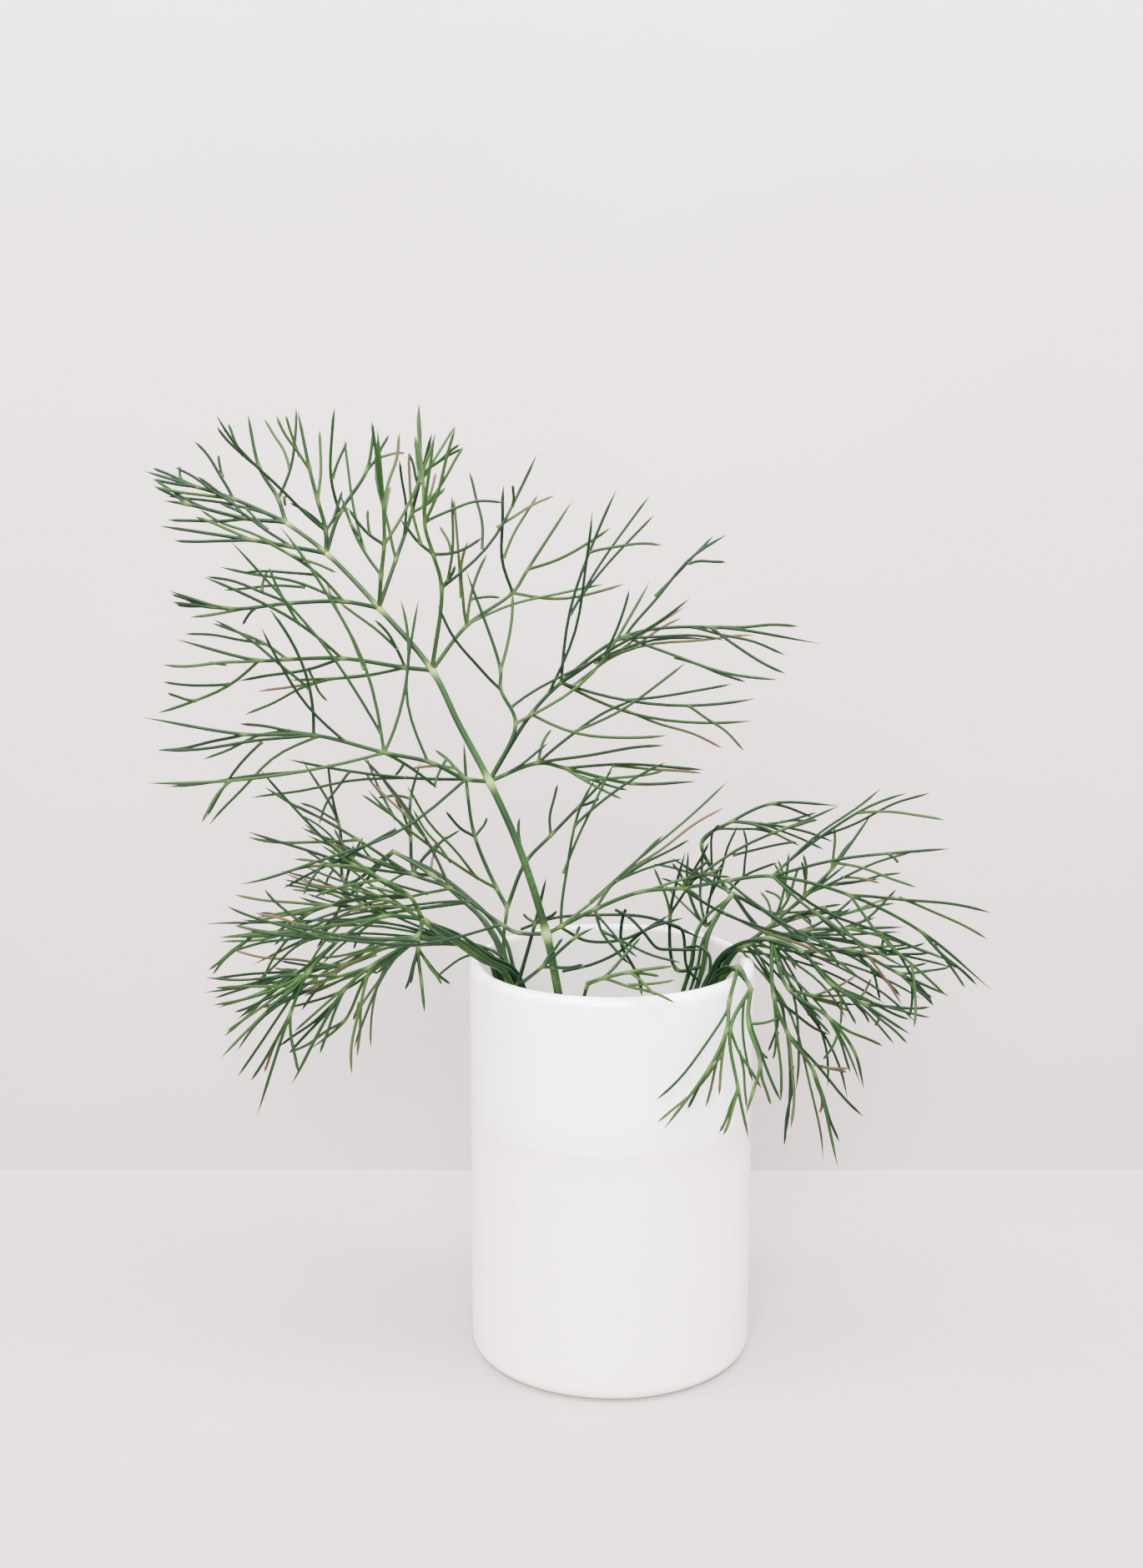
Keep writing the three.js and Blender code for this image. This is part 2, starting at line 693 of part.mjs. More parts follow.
// A closed tapering tube along a polyline, blunt or pointed at its far end.
function tube(points, radii, sides, pointed) {
  const rings = pointed ? points.length - 1 : points.length;
  const vertices = [];
  const triangles = [];
  const frame = new THREE.Vector3(0.31, -0.83, 0.46);
  for (let i = 0; i < rings; i += 1) {
    const before = points[Math.max(i - 1, 0)];
    const after = points[Math.min(i + 1, points.length - 1)];
    const tangent = after.clone().sub(before).normalize();
    frame.addScaledVector(tangent, -frame.dot(tangent)).normalize();
    const across = tangent.clone().cross(frame);
    const radius = THREE.MathUtils.lerp(radii[0], radii[1], i / (points.length - 1));
    for (let k = 0; k < sides; k += 1) {
      const turn = (k / sides) * 2 * Math.PI;
      const point = points[i].clone()
        .addScaledVector(frame, radius * Math.cos(turn))
        .addScaledVector(across, radius * Math.sin(turn));
      vertices.push(point.x, point.y, point.z);
    }
  }
  for (let i = 1; i < rings; i += 1) {
    for (let k = 0; k < sides; k += 1) {
      const next = (k + 1) % sides;
      const [a, b] = [(i - 1) * sides + k, (i - 1) * sides + next];
      const [c, d] = [i * sides + k, i * sides + next];
      triangles.push(a, b, d, a, d, c);
    }
  }
  const last = (rings - 1) * sides;
  for (let k = 1; k < sides - 1; k += 1) {
    triangles.push(0, k + 1, k);
    if (!pointed) triangles.push(last, last + k, last + k + 1);
  }
  if (pointed) {
    const end = points[points.length - 1];
    vertices.push(end.x, end.y, end.z);
    for (let k = 0; k < sides; k += 1) {
      triangles.push(last + k, last + ((k + 1) % sides), rings * sides);
    }
  }
  return new wasm.Manifold(new wasm.Mesh({
    numProp: 3,
    vertProperties: new Float32Array(vertices),
    triVerts: new Uint32Array(triangles),
  }));
}

function toGeometry(solid) {
  const mesh = solid.getMesh();
  const geometry = new THREE.BufferGeometry();
  geometry.setAttribute('position', new THREE.BufferAttribute(new Float32Array(mesh.vertProperties), 3));
  geometry.setIndex(new THREE.BufferAttribute(new Uint32Array(mesh.triVerts), 1));
  geometry.computeVertexNormals();
  return geometry;
}

function namedMesh(name, geometry, colour, roughness) {
  const material = new THREE.MeshStandardMaterial({ color: colour, roughness, metalness: 0 });
  const mesh = new THREE.Mesh(geometry, material);
  mesh.name = name;
  return mesh;
}

// A quarter-round of the profile about a centre, from one angle to another.
function cornerRound(centreRadius, centreHeight, round, fromAngle, toAngle) {
  const points = [];
  for (let i = 0; i <= roundSteps; i += 1) {
    const angle = THREE.MathUtils.lerp(fromAngle, toAngle, i / roundSteps) * degree;
    points.push(new THREE.Vector2(
      centreRadius + round * Math.cos(angle),
      centreHeight + round * Math.sin(angle),
    ));
  }
  return points;
}

// A straight tumbler: flat foot with a rounded edge, upright wall, rounded lip and a thick floor.
function buildVase() {
  const innerRadius = vaseRadius - wallThickness;
  const profile = [
    new THREE.Vector2(0, 0),
    ...cornerRound(footRadius, footRound, footRound, -90, 0),
    ...cornerRound(vaseRadius - lipRound, vaseHeight - lipRound, lipRound, 0, 90),
    ...cornerRound(innerRadius + lipRound, vaseHeight - lipRound, lipRound, 90, 180),
    ...cornerRound(innerRadius - innerRound, floorThickness + innerRound, innerRound, 0, -90),
    new THREE.Vector2(0, floorThickness),
  ];
  const geometry = new THREE.LatheGeometry(profile, vaseSides);
  geometry.rotateX(Math.PI / 2);
  geometry.deleteAttribute('normal');
  geometry.deleteAttribute('uv');
  return namedMesh('vase', mergeVertices(geometry), colours.vase, 0.35);
}

const part = new THREE.Group();
part.add(buildVase());

for (const frond of fronds) {
  frond.centre = smoothRoute(toVectors(frond.route), 2);
  layDown(frond.centre, frond.radii[0], `${frond.name}_stem`);
  const stem = tube(frond.centre, frond.radii, stemSides, false);
  part.add(namedMesh(`${frond.name}_stem`, toGeometry(stem), colours.stem, 0.5));
}

for (const frond of fronds) {
  for (const leaf of frond.leaves) {
    leaf.node = `${frond.name}_leaf_${leaf.name}`;
    leaf.axis = clearAxis(smoothRoute(toVectors(leaf.route), axisSteps), leaf.node);
    layDown(leaf.axis, axisRadii[0], leaf.node);
  }
}

for (const frond of fronds) {
  for (const leaf of frond.leaves) {
    let solid = tube(leaf.axis, axisRadii, threadSides, true);
    for (const thread of growLeaf(leaf, frond.bow, leaf.node)) {
      layDown(thread, threadRadii[0], leaf.node);
      solid = solid.add(tube(thread, threadRadii, threadSides, true));
    }
    part.add(namedMesh(leaf.node, toGeometry(solid), colours.leaf, 0.6));
  }
}

export default part;
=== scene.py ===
import math
import random

import bmesh
import bpy
import numpy as np
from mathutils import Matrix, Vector
from mathutils.kdtree import KDTree


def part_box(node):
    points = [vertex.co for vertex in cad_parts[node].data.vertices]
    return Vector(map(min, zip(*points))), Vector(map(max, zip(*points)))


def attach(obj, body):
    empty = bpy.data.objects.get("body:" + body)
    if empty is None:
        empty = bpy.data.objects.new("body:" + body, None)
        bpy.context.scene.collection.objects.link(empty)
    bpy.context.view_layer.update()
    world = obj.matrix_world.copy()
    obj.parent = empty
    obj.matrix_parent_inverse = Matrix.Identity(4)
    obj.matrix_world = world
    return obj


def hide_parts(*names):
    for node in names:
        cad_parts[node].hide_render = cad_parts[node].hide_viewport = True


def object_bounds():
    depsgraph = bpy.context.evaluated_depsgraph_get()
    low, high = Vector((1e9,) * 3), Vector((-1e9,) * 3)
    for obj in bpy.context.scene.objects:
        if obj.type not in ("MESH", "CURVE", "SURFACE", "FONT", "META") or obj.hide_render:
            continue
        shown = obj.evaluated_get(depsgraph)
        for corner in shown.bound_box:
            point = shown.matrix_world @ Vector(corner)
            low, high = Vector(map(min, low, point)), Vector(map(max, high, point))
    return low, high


# Feathery fennel fronds standing in a small two-tone ceramic vase.
# Lengths are metres, apart from the fronds' routes and radii, which are millimetres.

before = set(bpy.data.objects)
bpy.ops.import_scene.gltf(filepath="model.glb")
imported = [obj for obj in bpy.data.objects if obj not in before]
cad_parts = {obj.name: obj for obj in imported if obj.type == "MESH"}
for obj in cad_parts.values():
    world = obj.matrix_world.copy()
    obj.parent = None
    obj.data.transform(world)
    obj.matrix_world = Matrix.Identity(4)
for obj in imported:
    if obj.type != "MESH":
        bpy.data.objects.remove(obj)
cadLow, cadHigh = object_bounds()
mm = 0.001
print("frame loaded:", len(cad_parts), "nodes")

cameraSettings = {
    "place": (-0.0113, -0.5926, 0.2839),
    "pitchDown": 11.3,
    "lens": 50,
    "sensor": 36,
}


def addCamera():
    tilt = math.radians(90 - cameraSettings["pitchDown"])
    bpy.ops.object.camera_add(location=cameraSettings["place"], rotation=(tilt, 0, 0))
    camera = bpy.context.object
    camera.data.lens = cameraSettings["lens"]
    camera.data.sensor_width = cameraSettings["sensor"]
    bpy.context.scene.camera = camera


addCamera()


# Small helpers for working in edit mode.
def deselectAll():
    bpy.ops.object.select_all(action="DESELECT")


def startEditing(piece):
    deselectAll()
    piece.select_set(True)
    bpy.context.view_layer.objects.active = piece
    bpy.ops.object.mode_set(mode="EDIT")
    bpy.ops.mesh.select_all(action="DESELECT")


def stopEditing():
    bpy.ops.object.mode_set(mode="OBJECT")


def pickParts(piece, kind, test):
    # kind is VERT, EDGE or FACE
    bpy.ops.mesh.select_mode(type=kind)
    bpy.ops.mesh.select_all(action="DESELECT")
    shape = bmesh.from_edit_mesh(piece.data)
    parts = {"VERT": shape.verts, "EDGE": shape.edges, "FACE": shape.faces}[kind]
    for part in parts:
        if test(part):
            part.select_set(True)
    bmesh.update_edit_mesh(piece.data)


def ringEdge(height, radius):
    # an edge that lies on the circle of that height and radius
    def test(edge):
        return all(
            abs(corner.co.z - height) < 1e-5 and abs(corner.co.xy.length - radius) < 1e-5
            for corner in edge.verts
        )
    return test


def finishPiece(piece, node, material):
    piece.data.materials.clear()
    piece.data.materials.append(material)
    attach(piece, "root")
    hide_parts(node)


# Colours and shader nodes.
def paint(red, green, blue):
    # a screen colour, 0 to 255, as the linear colour that shaders use
    def linear(level):
        share = level / 255
        return share / 12.92 if share <= 0.04045 else ((share + 0.055) / 1.055) ** 2.4
    return (linear(red), linear(green), linear(blue), 1)


class Shading:
    # one material's node tree, with short ways to add to it
    def __init__(self, name):
        self.material = bpy.data.materials.new(name)
        self.material.use_nodes = True
        self.tree = self.material.node_tree
        self.shader = self.tree.nodes["Principled BSDF"]

    def add(self, kind, inputs=None, **settings):
        node = self.tree.nodes.new(kind)
        for key, value in settings.items():
            setattr(node, key, value)
        for key, value in (inputs or {}).items():
            self.feed(node.inputs[key], value)
        return node

    def feed(self, socket, value):
        if isinstance(value, bpy.types.NodeSocket):
            self.tree.links.new(value, socket)
        else:
            socket.default_value = value

    def objectPlace(self):
        return self.add("ShaderNodeTexCoord").outputs["Object"]

    def attribute(self, name):
        return self.add("ShaderNodeAttribute", attribute_name=name).outputs["Fac"]

    def noise(self, vector, scale, detail=3.0):
        inputs = {"Vector": vector, "Scale": scale, "Detail": detail}
        return self.add("ShaderNodeTexNoise", inputs).outputs["Fac"]

    def reach(self, value, fromLow, fromHigh, toLow=0.0, toHigh=1.0):
        inputs = {
            "Value": value, "From Min": fromLow, "From Max": fromHigh,
            "To Min": toLow, "To Max": toHigh,
        }
        return self.add("ShaderNodeMapRange", inputs).outputs["Result"]

    def sums(self, operation, first, second):
        return self.add("ShaderNodeMath", {0: first, 1: second}, operation=operation).outputs[0]

    def blend(self, share, first, second):
        inputs = {0: share, 6: first, 7: second}
        return self.add("ShaderNodeMix", inputs, data_type="RGBA").outputs[2]

    def bump(self, height, strength, distance, normal=None):
        inputs = {"Height": height, "Strength": strength, "Distance": distance}
        if normal:
            inputs["Normal"] = normal
        return self.add("ShaderNodeBump", inputs).outputs["Normal"]

    def finish(self, colour, roughness, normal, specular=0.5):
        self.feed(self.shader.inputs["Specular IOR Level"], specular)
        self.feed(self.shader.inputs["Base Color"], colour)
        self.feed(self.shader.inputs["Roughness"], roughness)
        self.feed(self.shader.inputs["Normal"], normal)
        return self.material


# The vase: a straight tumbler dipped in clear white glaze down to the glaze line.
vaseSettings = {
    "sides": 128,
    "wall": 0.0035,
    "floor": 0.008,
    "footRound": 0.004,
    "lipRound": 0.0022,
    "innerLipRound": 0.0012,
    "innerRound": 0.004,
    "footRecess": 0.0007,
    "recessMargin": 0.004,
    "bandHeights": (0.012, 0.022, 0.032, 0.042, 0.052, 0.062, 0.082, 0.092, 0.102),
    "glazeLine": 0.0716,
    "glazeStep": 0.0003,
    "glazeThickness": 0.00016,
    "handWaver": 0.0005,
    "handWaverSize": 0.05,
    "glaze": paint(247, 246, 247),
    "glazeThin": paint(244, 242, 243),
    "body": paint(243, 233, 230),
    "bodyShade": paint(238, 228, 225),
    "speck": paint(205, 194, 186),
    "speckShare": 0.35,
    "lineWaver": 0.0003,
    "glazeRoughness": 0.1,
    "bodyRoughness": 0.55,
    # painted shade: the inside of the vase is coloured darker than its glaze, for the shade in its hollow
    "insidePaintedShade": paint(188, 186, 180),
}


def vaseMaterial():
    s = vaseSettings
    shading = Shading("ceramicTwoTone")
    place = shading.objectPlace()
    split = shading.add("ShaderNodeSeparateXYZ", {"Vector": place})
    flat = shading.add("ShaderNodeCombineXYZ", {"X": split.outputs["X"], "Y": split.outputs["Y"]})
    span = shading.add("ShaderNodeVectorMath", {0: flat.outputs[0]}, operation="LENGTH")
    # the dip line wavers a little, and the whole inside is glazed
    waver = shading.reach(shading.noise(place, 22, 2), 0.3, 0.7, -s["lineWaver"], s["lineWaver"])
    height = shading.sums("ADD", split.outputs["Z"], waver)
    line = s["glazeLine"]
    dipped = shading.reach(height, line - s["glazeStep"], line + s["glazeStep"])
    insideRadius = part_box("vase")[1].x - s["wall"] + s["glazeThickness"]
    inside = shading.reach(span.outputs["Value"], insideRadius + 0.001, insideRadius + 0.0005)
    onTop = shading.reach(split.outputs["Z"], 0.006, 0.007)
    inside = shading.sums("MULTIPLY", inside, onTop)
    glazed = shading.sums("MAXIMUM", dipped, inside)
    cloud = shading.noise(place, 35, 4)
    grain = shading.noise(place, 1500, 2)
    specks = shading.reach(shading.noise(place, 420, 1), 0.70, 0.78)
    body = shading.blend(shading.reach(cloud, 0.3, 0.7), s["body"], s["bodyShade"])
    body = shading.blend(shading.sums("MULTIPLY", specks, s["speckShare"]), body, s["speck"])
    glaze = shading.blend(shading.reach(cloud, 0.35, 0.75), s["glaze"], s["glazeThin"])
    # painted shade: the inside is blended to a darker colour, where shade falls in the hollow
    glaze = shading.blend(inside, glaze, s["insidePaintedShade"])
    colour = shading.blend(glazed, body, glaze)
    roughness = shading.reach(glazed, 0, 1, s["bodyRoughness"], s["glazeRoughness"])
    # fired clay is finely grainy, and glaze only has a soft orange peel
    rough = shading.sums("MULTIPLY", grain, shading.reach(glazed, 0, 1, 1, 0.04))
    peel = shading.noise(place, 140, 1)
    turned = shading.add(
        "ShaderNodeTexWave", {"Vector": place, "Scale": 55, "Distortion": 0.6, "Detail": 1},
        bands_direction="Z",
    )
    normal = shading.bump(rough, 0.35, 0.00012)
    normal = shading.bump(peel, 0.25, 0.00012, normal)
    normal = shading.bump(turned.outputs["Fac"], 0.12, 0.0001, normal)
    return shading.finish(colour, roughness, normal)


def makeVase():
    s = vaseSettings
    low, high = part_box("vase")
    radius, height = high.x, high.z
    inner = radius - s["wall"]
    deselectAll()
    bpy.ops.mesh.primitive_cylinder_add(
        vertices=s["sides"], radius=radius, depth=height, location=(0, 0, height / 2),
    )
    vase = bpy.context.object
    vase.name = "vaseBody"
    bpy.ops.object.transform_apply(location=True, rotation=True, scale=True)
    startEditing(vase)
    # hollow it from the top, down to the floor
    pickParts(vase, "FACE", lambda face: face.normal.z > 0.9)
    bpy.ops.mesh.inset(thickness=s["wall"])
    bpy.ops.mesh.extrude_region_move(
        TRANSFORM_OT_translate={"value": (0, 0, s["floor"] - height)},
    )
    # round the foot, the lip and the inner floor
    rounds = (
        (0, radius, s["footRound"], 8),
        (height, radius, s["lipRound"], 8),
        (height, inner, s["innerLipRound"], 5),
        (s["floor"], inner, s["innerRound"], 6),
    )
    for level, width, size, steps in rounds:
        pickParts(vase, "EDGE", ringEdge(level, width))
        bpy.ops.mesh.bevel(offset=size, segments=steps, profile=0.5, affect="EDGES")
    # a shallow turned recess under the foot
    pickParts(vase, "FACE", lambda face: face.normal.z < -0.9 and abs(face.calc_center_median().z) < 1e-5)
    bpy.ops.mesh.inset(thickness=s["recessMargin"])
    bpy.ops.mesh.inset(thickness=s["footRecess"])
    bpy.ops.transform.translate(value=(0, 0, s["footRecess"]))
    # bands round the wall, with two close together for the edge of the glaze
    glazeEdges = (s["glazeLine"] - s["glazeStep"], s["glazeLine"] + s["glazeStep"])
    for level in s["bandHeights"] + glazeEdges:
        bpy.ops.mesh.select_mode(type="FACE")
        bpy.ops.mesh.select_all(action="SELECT")
        bpy.ops.mesh.bisect(plane_co=(0, 0, level), plane_no=(0, 0, 1))
    pickParts(vase, "FACE", lambda face: face.calc_center_median().z > glazeEdges[1])
    bpy.ops.transform.shrink_fatten(value=s["glazeThickness"])
    bpy.ops.mesh.select_all(action="SELECT")
    bpy.ops.mesh.normals_make_consistent(inside=False)
    stopEditing()
    # the wall is not quite true, as on a hand-turned piece
    unevenness = bpy.data.textures.new("handTurned", "CLOUDS")
    unevenness.noise_scale = s["handWaverSize"]
    unevenness.noise_depth = 0
    waver = vase.modifiers.new("handTurned", "DISPLACE")
    waver.texture = unevenness
    waver.strength = s["handWaver"]
    waver.mid_level = 0.5
    bpy.ops.object.modifier_apply(modifier=waver.name)
    bpy.ops.object.shade_smooth_by_angle(angle=math.radians(30))
    finishPiece(vase, "vase", vaseMaterial())
    print("vase made:", len(vase.data.polygons), "faces")


makeVase()


# Every frond: its stem from the cut end in the vase to its tip, and its leaves, in millimetres.
# A leaf's route starts on its stem's centre line, and its points after that are its joints.
fronds = [
  {
    "name": "tall",
    "radii": [1.6, 0.6],
    "bow": 0.2,
    "route": [
      [6, -22, 9], [-6, -29, 62], [-15, -30, 115], [-18, -31, 131], [-25, -31, 154], [-33, -29, 172],
      [-41, -27, 187], [-48, -25, 201], [-62, -21, 217], [-76, -17, 231], [-87, -14, 239],
    ],
    "leaves": [
      {
        "name": "tip",
        "route": [[-87, -14, 239], [-101, -12, 245], [-111, -10, 248], [-125, -8, 252]],
        "twigs": [
          [1, 0.1, [124, 18], [109, 12]], [1, -0.3, [170, 20]], [2, 0.3, [159, 13], [132, 7]],
          [2, -0.3, [169, 11]],
        ],
      },
      {
        "name": "top_left",
        "route": [[-87, -14, 239], [-97, -16, 240], [-112, -19, 244], [-118, -20, 245]],
        "twigs": [
          [1, -0.2, [-180, 20]], [1, 0.3, [140, 17], [144, 23]], [2, 0.2, [154, 10]],
        ],
      },
      {
        "name": "top_up",
        "route": [[-87, -14, 239], [-89, -12, 245], [-94, -10, 253], [-97, -8, 267]],
        "twigs": [
          [1, 0.25, [79, 24], [102, 21]], [2, -0.3, [133, 15], [123, 14]],
        ],
      },
      {
        "name": "fifth_left",
        "route": [[-76, -17, 231], [-85, -20, 233], [-95, -23, 235], [-118, -27, 239]],
        "twigs": [
          [1, 0.3, [149, 22], [141, 16]], [2, -0.3, [179, 19]], [2, 0.3, [159, 16]],
        ],
      },
      {
        "name": "fifth_up",
        "route": [[-76, -17, 231], [-76, -17, 237], [-78, -17, 245], [-80, -16, 253], [-83, -14, 268]],
        "twigs": [
          [1, -0.35, [130, 40], [147, 12]], [1, 0.3, [68, 11], [43, 8]], [2, 0.3, [89, 18]],
          [3, -0.3, [119, 16]],
        ],
      },
      {
        "name": "fifth_right",
        "route": [[-76, -17, 231], [-73, -10, 241], [-66, -6, 252], [-64, -3, 264]],
        "twigs": [
          [1, -0.25, [90, 28], [82, 19]], [2, 0.3, [58, 11], [24, 11]],
        ],
      },
      {
        "name": "fourth_left",
        "route": [
          [-62, -21, 217], [-71, -24, 219], [-85, -28, 219], [-100, -31, 218], [-115, -34, 223],
        ],
        "twigs": [
          [1, -0.3, [140, 27], [163, 27], [99, 8]], [1, 0.35, [167, 35], [178, 34]],
          [2, 0.25, [164, 23], [123, 10]], [2, -0.2, [-173, 25], [-155, 13]],
          [3, -0.2, [172, 14], [165, 15]],
        ],
      },
      {
        "name": "fourth_up",
        "route": [[-62, -21, 217], [-61, -24, 226], [-60, -25, 234], [-60, -26, 245], [-61, -28, 264]],
        "twigs": [
          [1, 0.3, [118, 23], [107, 36], [119, 10]], [2, 0.3, [65, 31], [59, 35], [50, 32]],
          [3, -0.2, [96, 21]], [3, 0.3, [77, 18]], [2, -0.3, [132, 13], [113, 10]],
        ],
      },
      {
        "name": "fourth_right",
        "route": [[-62, -21, 217], [-58, -12, 229], [-54, -7, 241], [-52, -4, 251], [-52, -1, 269]],
        "twigs": [
          [1, 0.2, [99, 32], [95, 19]], [2, -0.3, [74, 22], [92, 16]], [2, 0.3, [36, 11], [59, 12]],
          [3, 0.3, [98, 9]],
        ],
      },
      {
        "name": "third_left",
        "route": [
          [-48, -25, 201], [-55, -27, 202], [-71, -31, 205], [-85, -33, 205], [-92, -35, 205],
          [-113, -38, 211],
        ],
        "twigs": [
          [1, 0.35, [-171, 32], [-167, 43], [-162, 46]], [2, -0.3, [146, 40], [126, 30]],
          [2, 0.25, [-166, 29], [-110, 13]], [3, 0.3, [157, 22], [170, 29]],
          [4, -0.2, [-179, 24], [-178, 13]], [4, 0.25, [-152, 32], [-165, 28], [-160, 26]],
          [1, -0.2, [120, 15], [134, 24]],
        ],
      },
      {
        "name": "third_up",
        "route": [[-48, -25, 201], [-45, -28, 223], [-47, -30, 232], [-49, -31, 240], [-46, -33, 263]],
        "twigs": [
          [1, 0.3, [54, 42], [77, 30], [55, 32], [38, 37]], [1, -0.15, [59, 7], [83, 24]],
          [2, -0.3, [131, 12], [102, 27]], [2, 0.4, [17, 13], [78, 7]], [3, 0.25, [93, 30], [97, 22]],
          [3, -0.3, [71, 26], [62, 22]],
        ],
      },
      {
        "name": "third_right",
        "route": [[-48, -25, 201], [-39, -18, 212], [-27, -12, 220], [-23, -9, 226], [-11, -4, 244]],
        "twigs": [
          [1, 0.35, [74, 19], [37, 11]], [1, -0.25, [88, 23], [95, 34]], [2, 0.25, [3, 30]],
          [3, -0.3, [28, 25]], [2, -0.2, [94, 29], [75, 27]],
        ],
      },
      {
        "name": "second_up",
        "route": [[-33, -29, 172], [-26, -26, 187], [-30, -25, 196], [-30, -24, 201], [-39, -21, 227]],
        "twigs": [
          [3, 0.3, [81, 20]], [2, -0.3, [124, 28]], [1, 0.25, [46, 51], [32, 54], [21, 59], [17, 68]],
        ],
      },
      {
        "name": "second_right",
        "route": [
          [-33, -29, 172], [-22, -23, 189], [-14, -20, 197], [3, -17, 209], [26, -14, 211],
          [56, -10, 206],
        ],
        "twigs": [
          [1, -0.3, [-6, 36], [20, 43]], [2, 0.1, [74, 53], [64, 54], [54, 45]],
          [2, -0.35, [36, 41], [55, 31]], [2, -0.2, [-3, 51], [0, 45], [-18, 50]],
          [2, 0.3, [-14, 54], [-26, 50]], [3, 0.2, [44, 38], [47, 35], [36, 33]],
          [3, -0.3, [-14, 41], [-20, 34]], [4, 0.2, [-1, 24]], [4, -0.2, [-31, 23]],
        ],
      },
      {
        "name": "second_low",
        "route": [[-33, -29, 172], [-20, -24, 176], [-13, -21, 174], [5, -17, 169], [23, -14, 169]],
        "twigs": [
          [1, 0.2, [32, 30]], [1, -0.2, [10, 34]], [2, 0.3, [-4, 38], [-7, 38]],
          [2, -0.3, [-26, 17], [1, 27]], [1, 0.45, [68, 9]],
        ],
      },
      {
        "name": "second_left",
        "route": [
          [-33, -29, 172], [-39, -31, 173], [-48, -34, 178], [-60, -36, 181], [-78, -38, 186],
          [-96, -37, 186], [-123, -34, 190],
        ],
        "twigs": [
          [1, -0.25, [-157, 63], [-149, 57], [-147, 49]], [1, 0.3, [177, 49], [-170, 62], [-161, 42]],
          [1, 0.4, [140, 11], [175, 15], [-161, 9]], [3, 0.2, [114, 64], [111, 45]],
          [3, 0.35, [84, 39]], [3, -0.25, [-175, 59], [-172, 56], [-162, 47]],
          [3, 0.3, [-38, 17], [-69, 7]], [4, -0.2, [106, 35], [129, 39]],
          [4, -0.3, [-177, 38], [-143, 34]], [4, 0.25, [174, 20], [-164, 32]], [5, 0.2, [-168, 24]],
        ],
      },
      {
        "name": "low_left",
        "route": [
          [-18, -31, 131], [-26, -30, 131], [-30, -29, 133], [-44, -25, 142], [-54, -22, 145],
          [-69, -19, 154], [-86, -15, 163],
        ],
        "twigs": [
          [3, 0.3, [126, 42], [130, 34]], [3, -0.3, [-176, 17], [160, 32], [144, 60]],
          [4, 0.25, [160, 33], [165, 27]], [4, -0.2, [162, 45], [170, 23]],
          [2, -0.25, [175, 65], [176, 68], [170, 70]], [5, 0.3, [154, 29]], [5, -0.2, [176, 29]],
        ],
      },
      {
        "name": "low_right",
        "route": [
          [-18, -31, 131], [-14, -31, 133], [-5, -32, 138], [7, -33, 143], [18, -33, 144],
          [30, -33, 146], [42, -32, 147], [63, -29, 141], [83, -26, 130], [103, -24, 113],
        ],
        "twigs": [
          [1, 0.05, [77, 41], [72, 46], [59, 53]], [1, 0.3, [35, 29], [37, 57], [33, 41]],
          [2, 0.3, [45, 26], [25, 26]], [2, -0.2, [-57, 17], [-32, 27]],
          [4, 0.25, [25, 47], [17, 33], [26, 40]], [4, -0.2, [49, 11], [14, 13]],
          [4, 0.3, [-26, 41], [-31, 53]], [5, -0.25, [-29, 33], [-36, 44]],
          [6, 0.25, [29, 42], [23, 48], [17, 48]], [6, -0.2, [12, 46], [-4, 38], [11, 32]],
          [6, 0.3, [-30, 52], [-48, 59]], [6, -0.35, [-32, 40], [-40, 26]],
          [7, 0.2, [-10, 40], [-22, 43]], [7, -0.25, [-45, 36], [-52, 36], [-64, 36]],
          [8, 0.2, [-45, 23]], [8, -0.2, [-46, 13]],
        ],
      },
    ],
  },
  {
    "name": "left",
    "radii": [1.1, 0.8],
    "bow": -0.15,
    "route": [
      [14, 8, 9], [-6, -4, 60], [-26, -16, 108], [-30, -20, 117.5], [-36, -24, 122], [-45, -28, 130],
      [-51, -31, 135],
    ],
    "leaves": [
      {
        "name": "low",
        "route": [
          [-51, -31, 135], [-61, -36, 137], [-72, -40, 132], [-80, -43, 124], [-85, -45, 113],
          [-94, -48, 86],
        ],
        "twigs": [
          [1, 0.25, [-169, 46], [-176, 36]], [2, -0.2, [-136, 43], [-141, 39]], [2, 0.3, [-139, 39]],
          [3, 0.25, [-157, 29]], [3, -0.25, [-139, 15]], [4, 0.2, [-120, 23], [-114, 20]],
          [4, -0.25, [-81, 15]],
        ],
      },
      {
        "name": "up",
        "route": [[-51, -31, 135], [-54, -34, 142], [-61, -36, 147], [-68, -37, 151], [-77, -38, 157]],
        "twigs": [
          [1, 0.3, [-169, 22], [176, 35]], [1, -0.3, [164, 12]], [2, 0.25, [149, 25], [137, 18]],
          [3, -0.25, [-178, 18]], [2, -0.3, [-169, 18]],
        ],
      },
      {
        "name": "middle",
        "route": [[-51, -31, 135], [-52, -38, 132], [-64, -42, 125], [-71, -44, 119], [-85, -47, 94]],
        "twigs": [
          [1, 0.25, [-156, 35], [-149, 37]], [1, -0.3, [-140, 14]], [2, -0.2, [-100, 28], [-108, 15]],
          [2, 0.2, [-169, 43], [-153, 33]], [3, 0.3, [-129, 25]], [3, -0.25, [-111, 17]],
        ],
      },
      {
        "name": "short",
        "route": [[-51, -31, 135], [-52, -35, 128], [-51, -38, 120], [-50, -41, 112]],
        "twigs": [
          [1, -0.3, [-108, 11]], [1, 0.3, [-53, 14]],
        ],
      },
    ],
  },
  {
    "name": "low",
    "radii": [1, 0.6],
    "bow": -0.15,
    "route": [
      [12, -4, 9], [-12, -4, 62], [-32, -3, 109], [-35, -4, 117], [-44, -4, 121], [-54, -6, 123],
      [-65, -8, 123], [-78, -10, 125],
    ],
    "leaves": [
      {
        "name": "end",
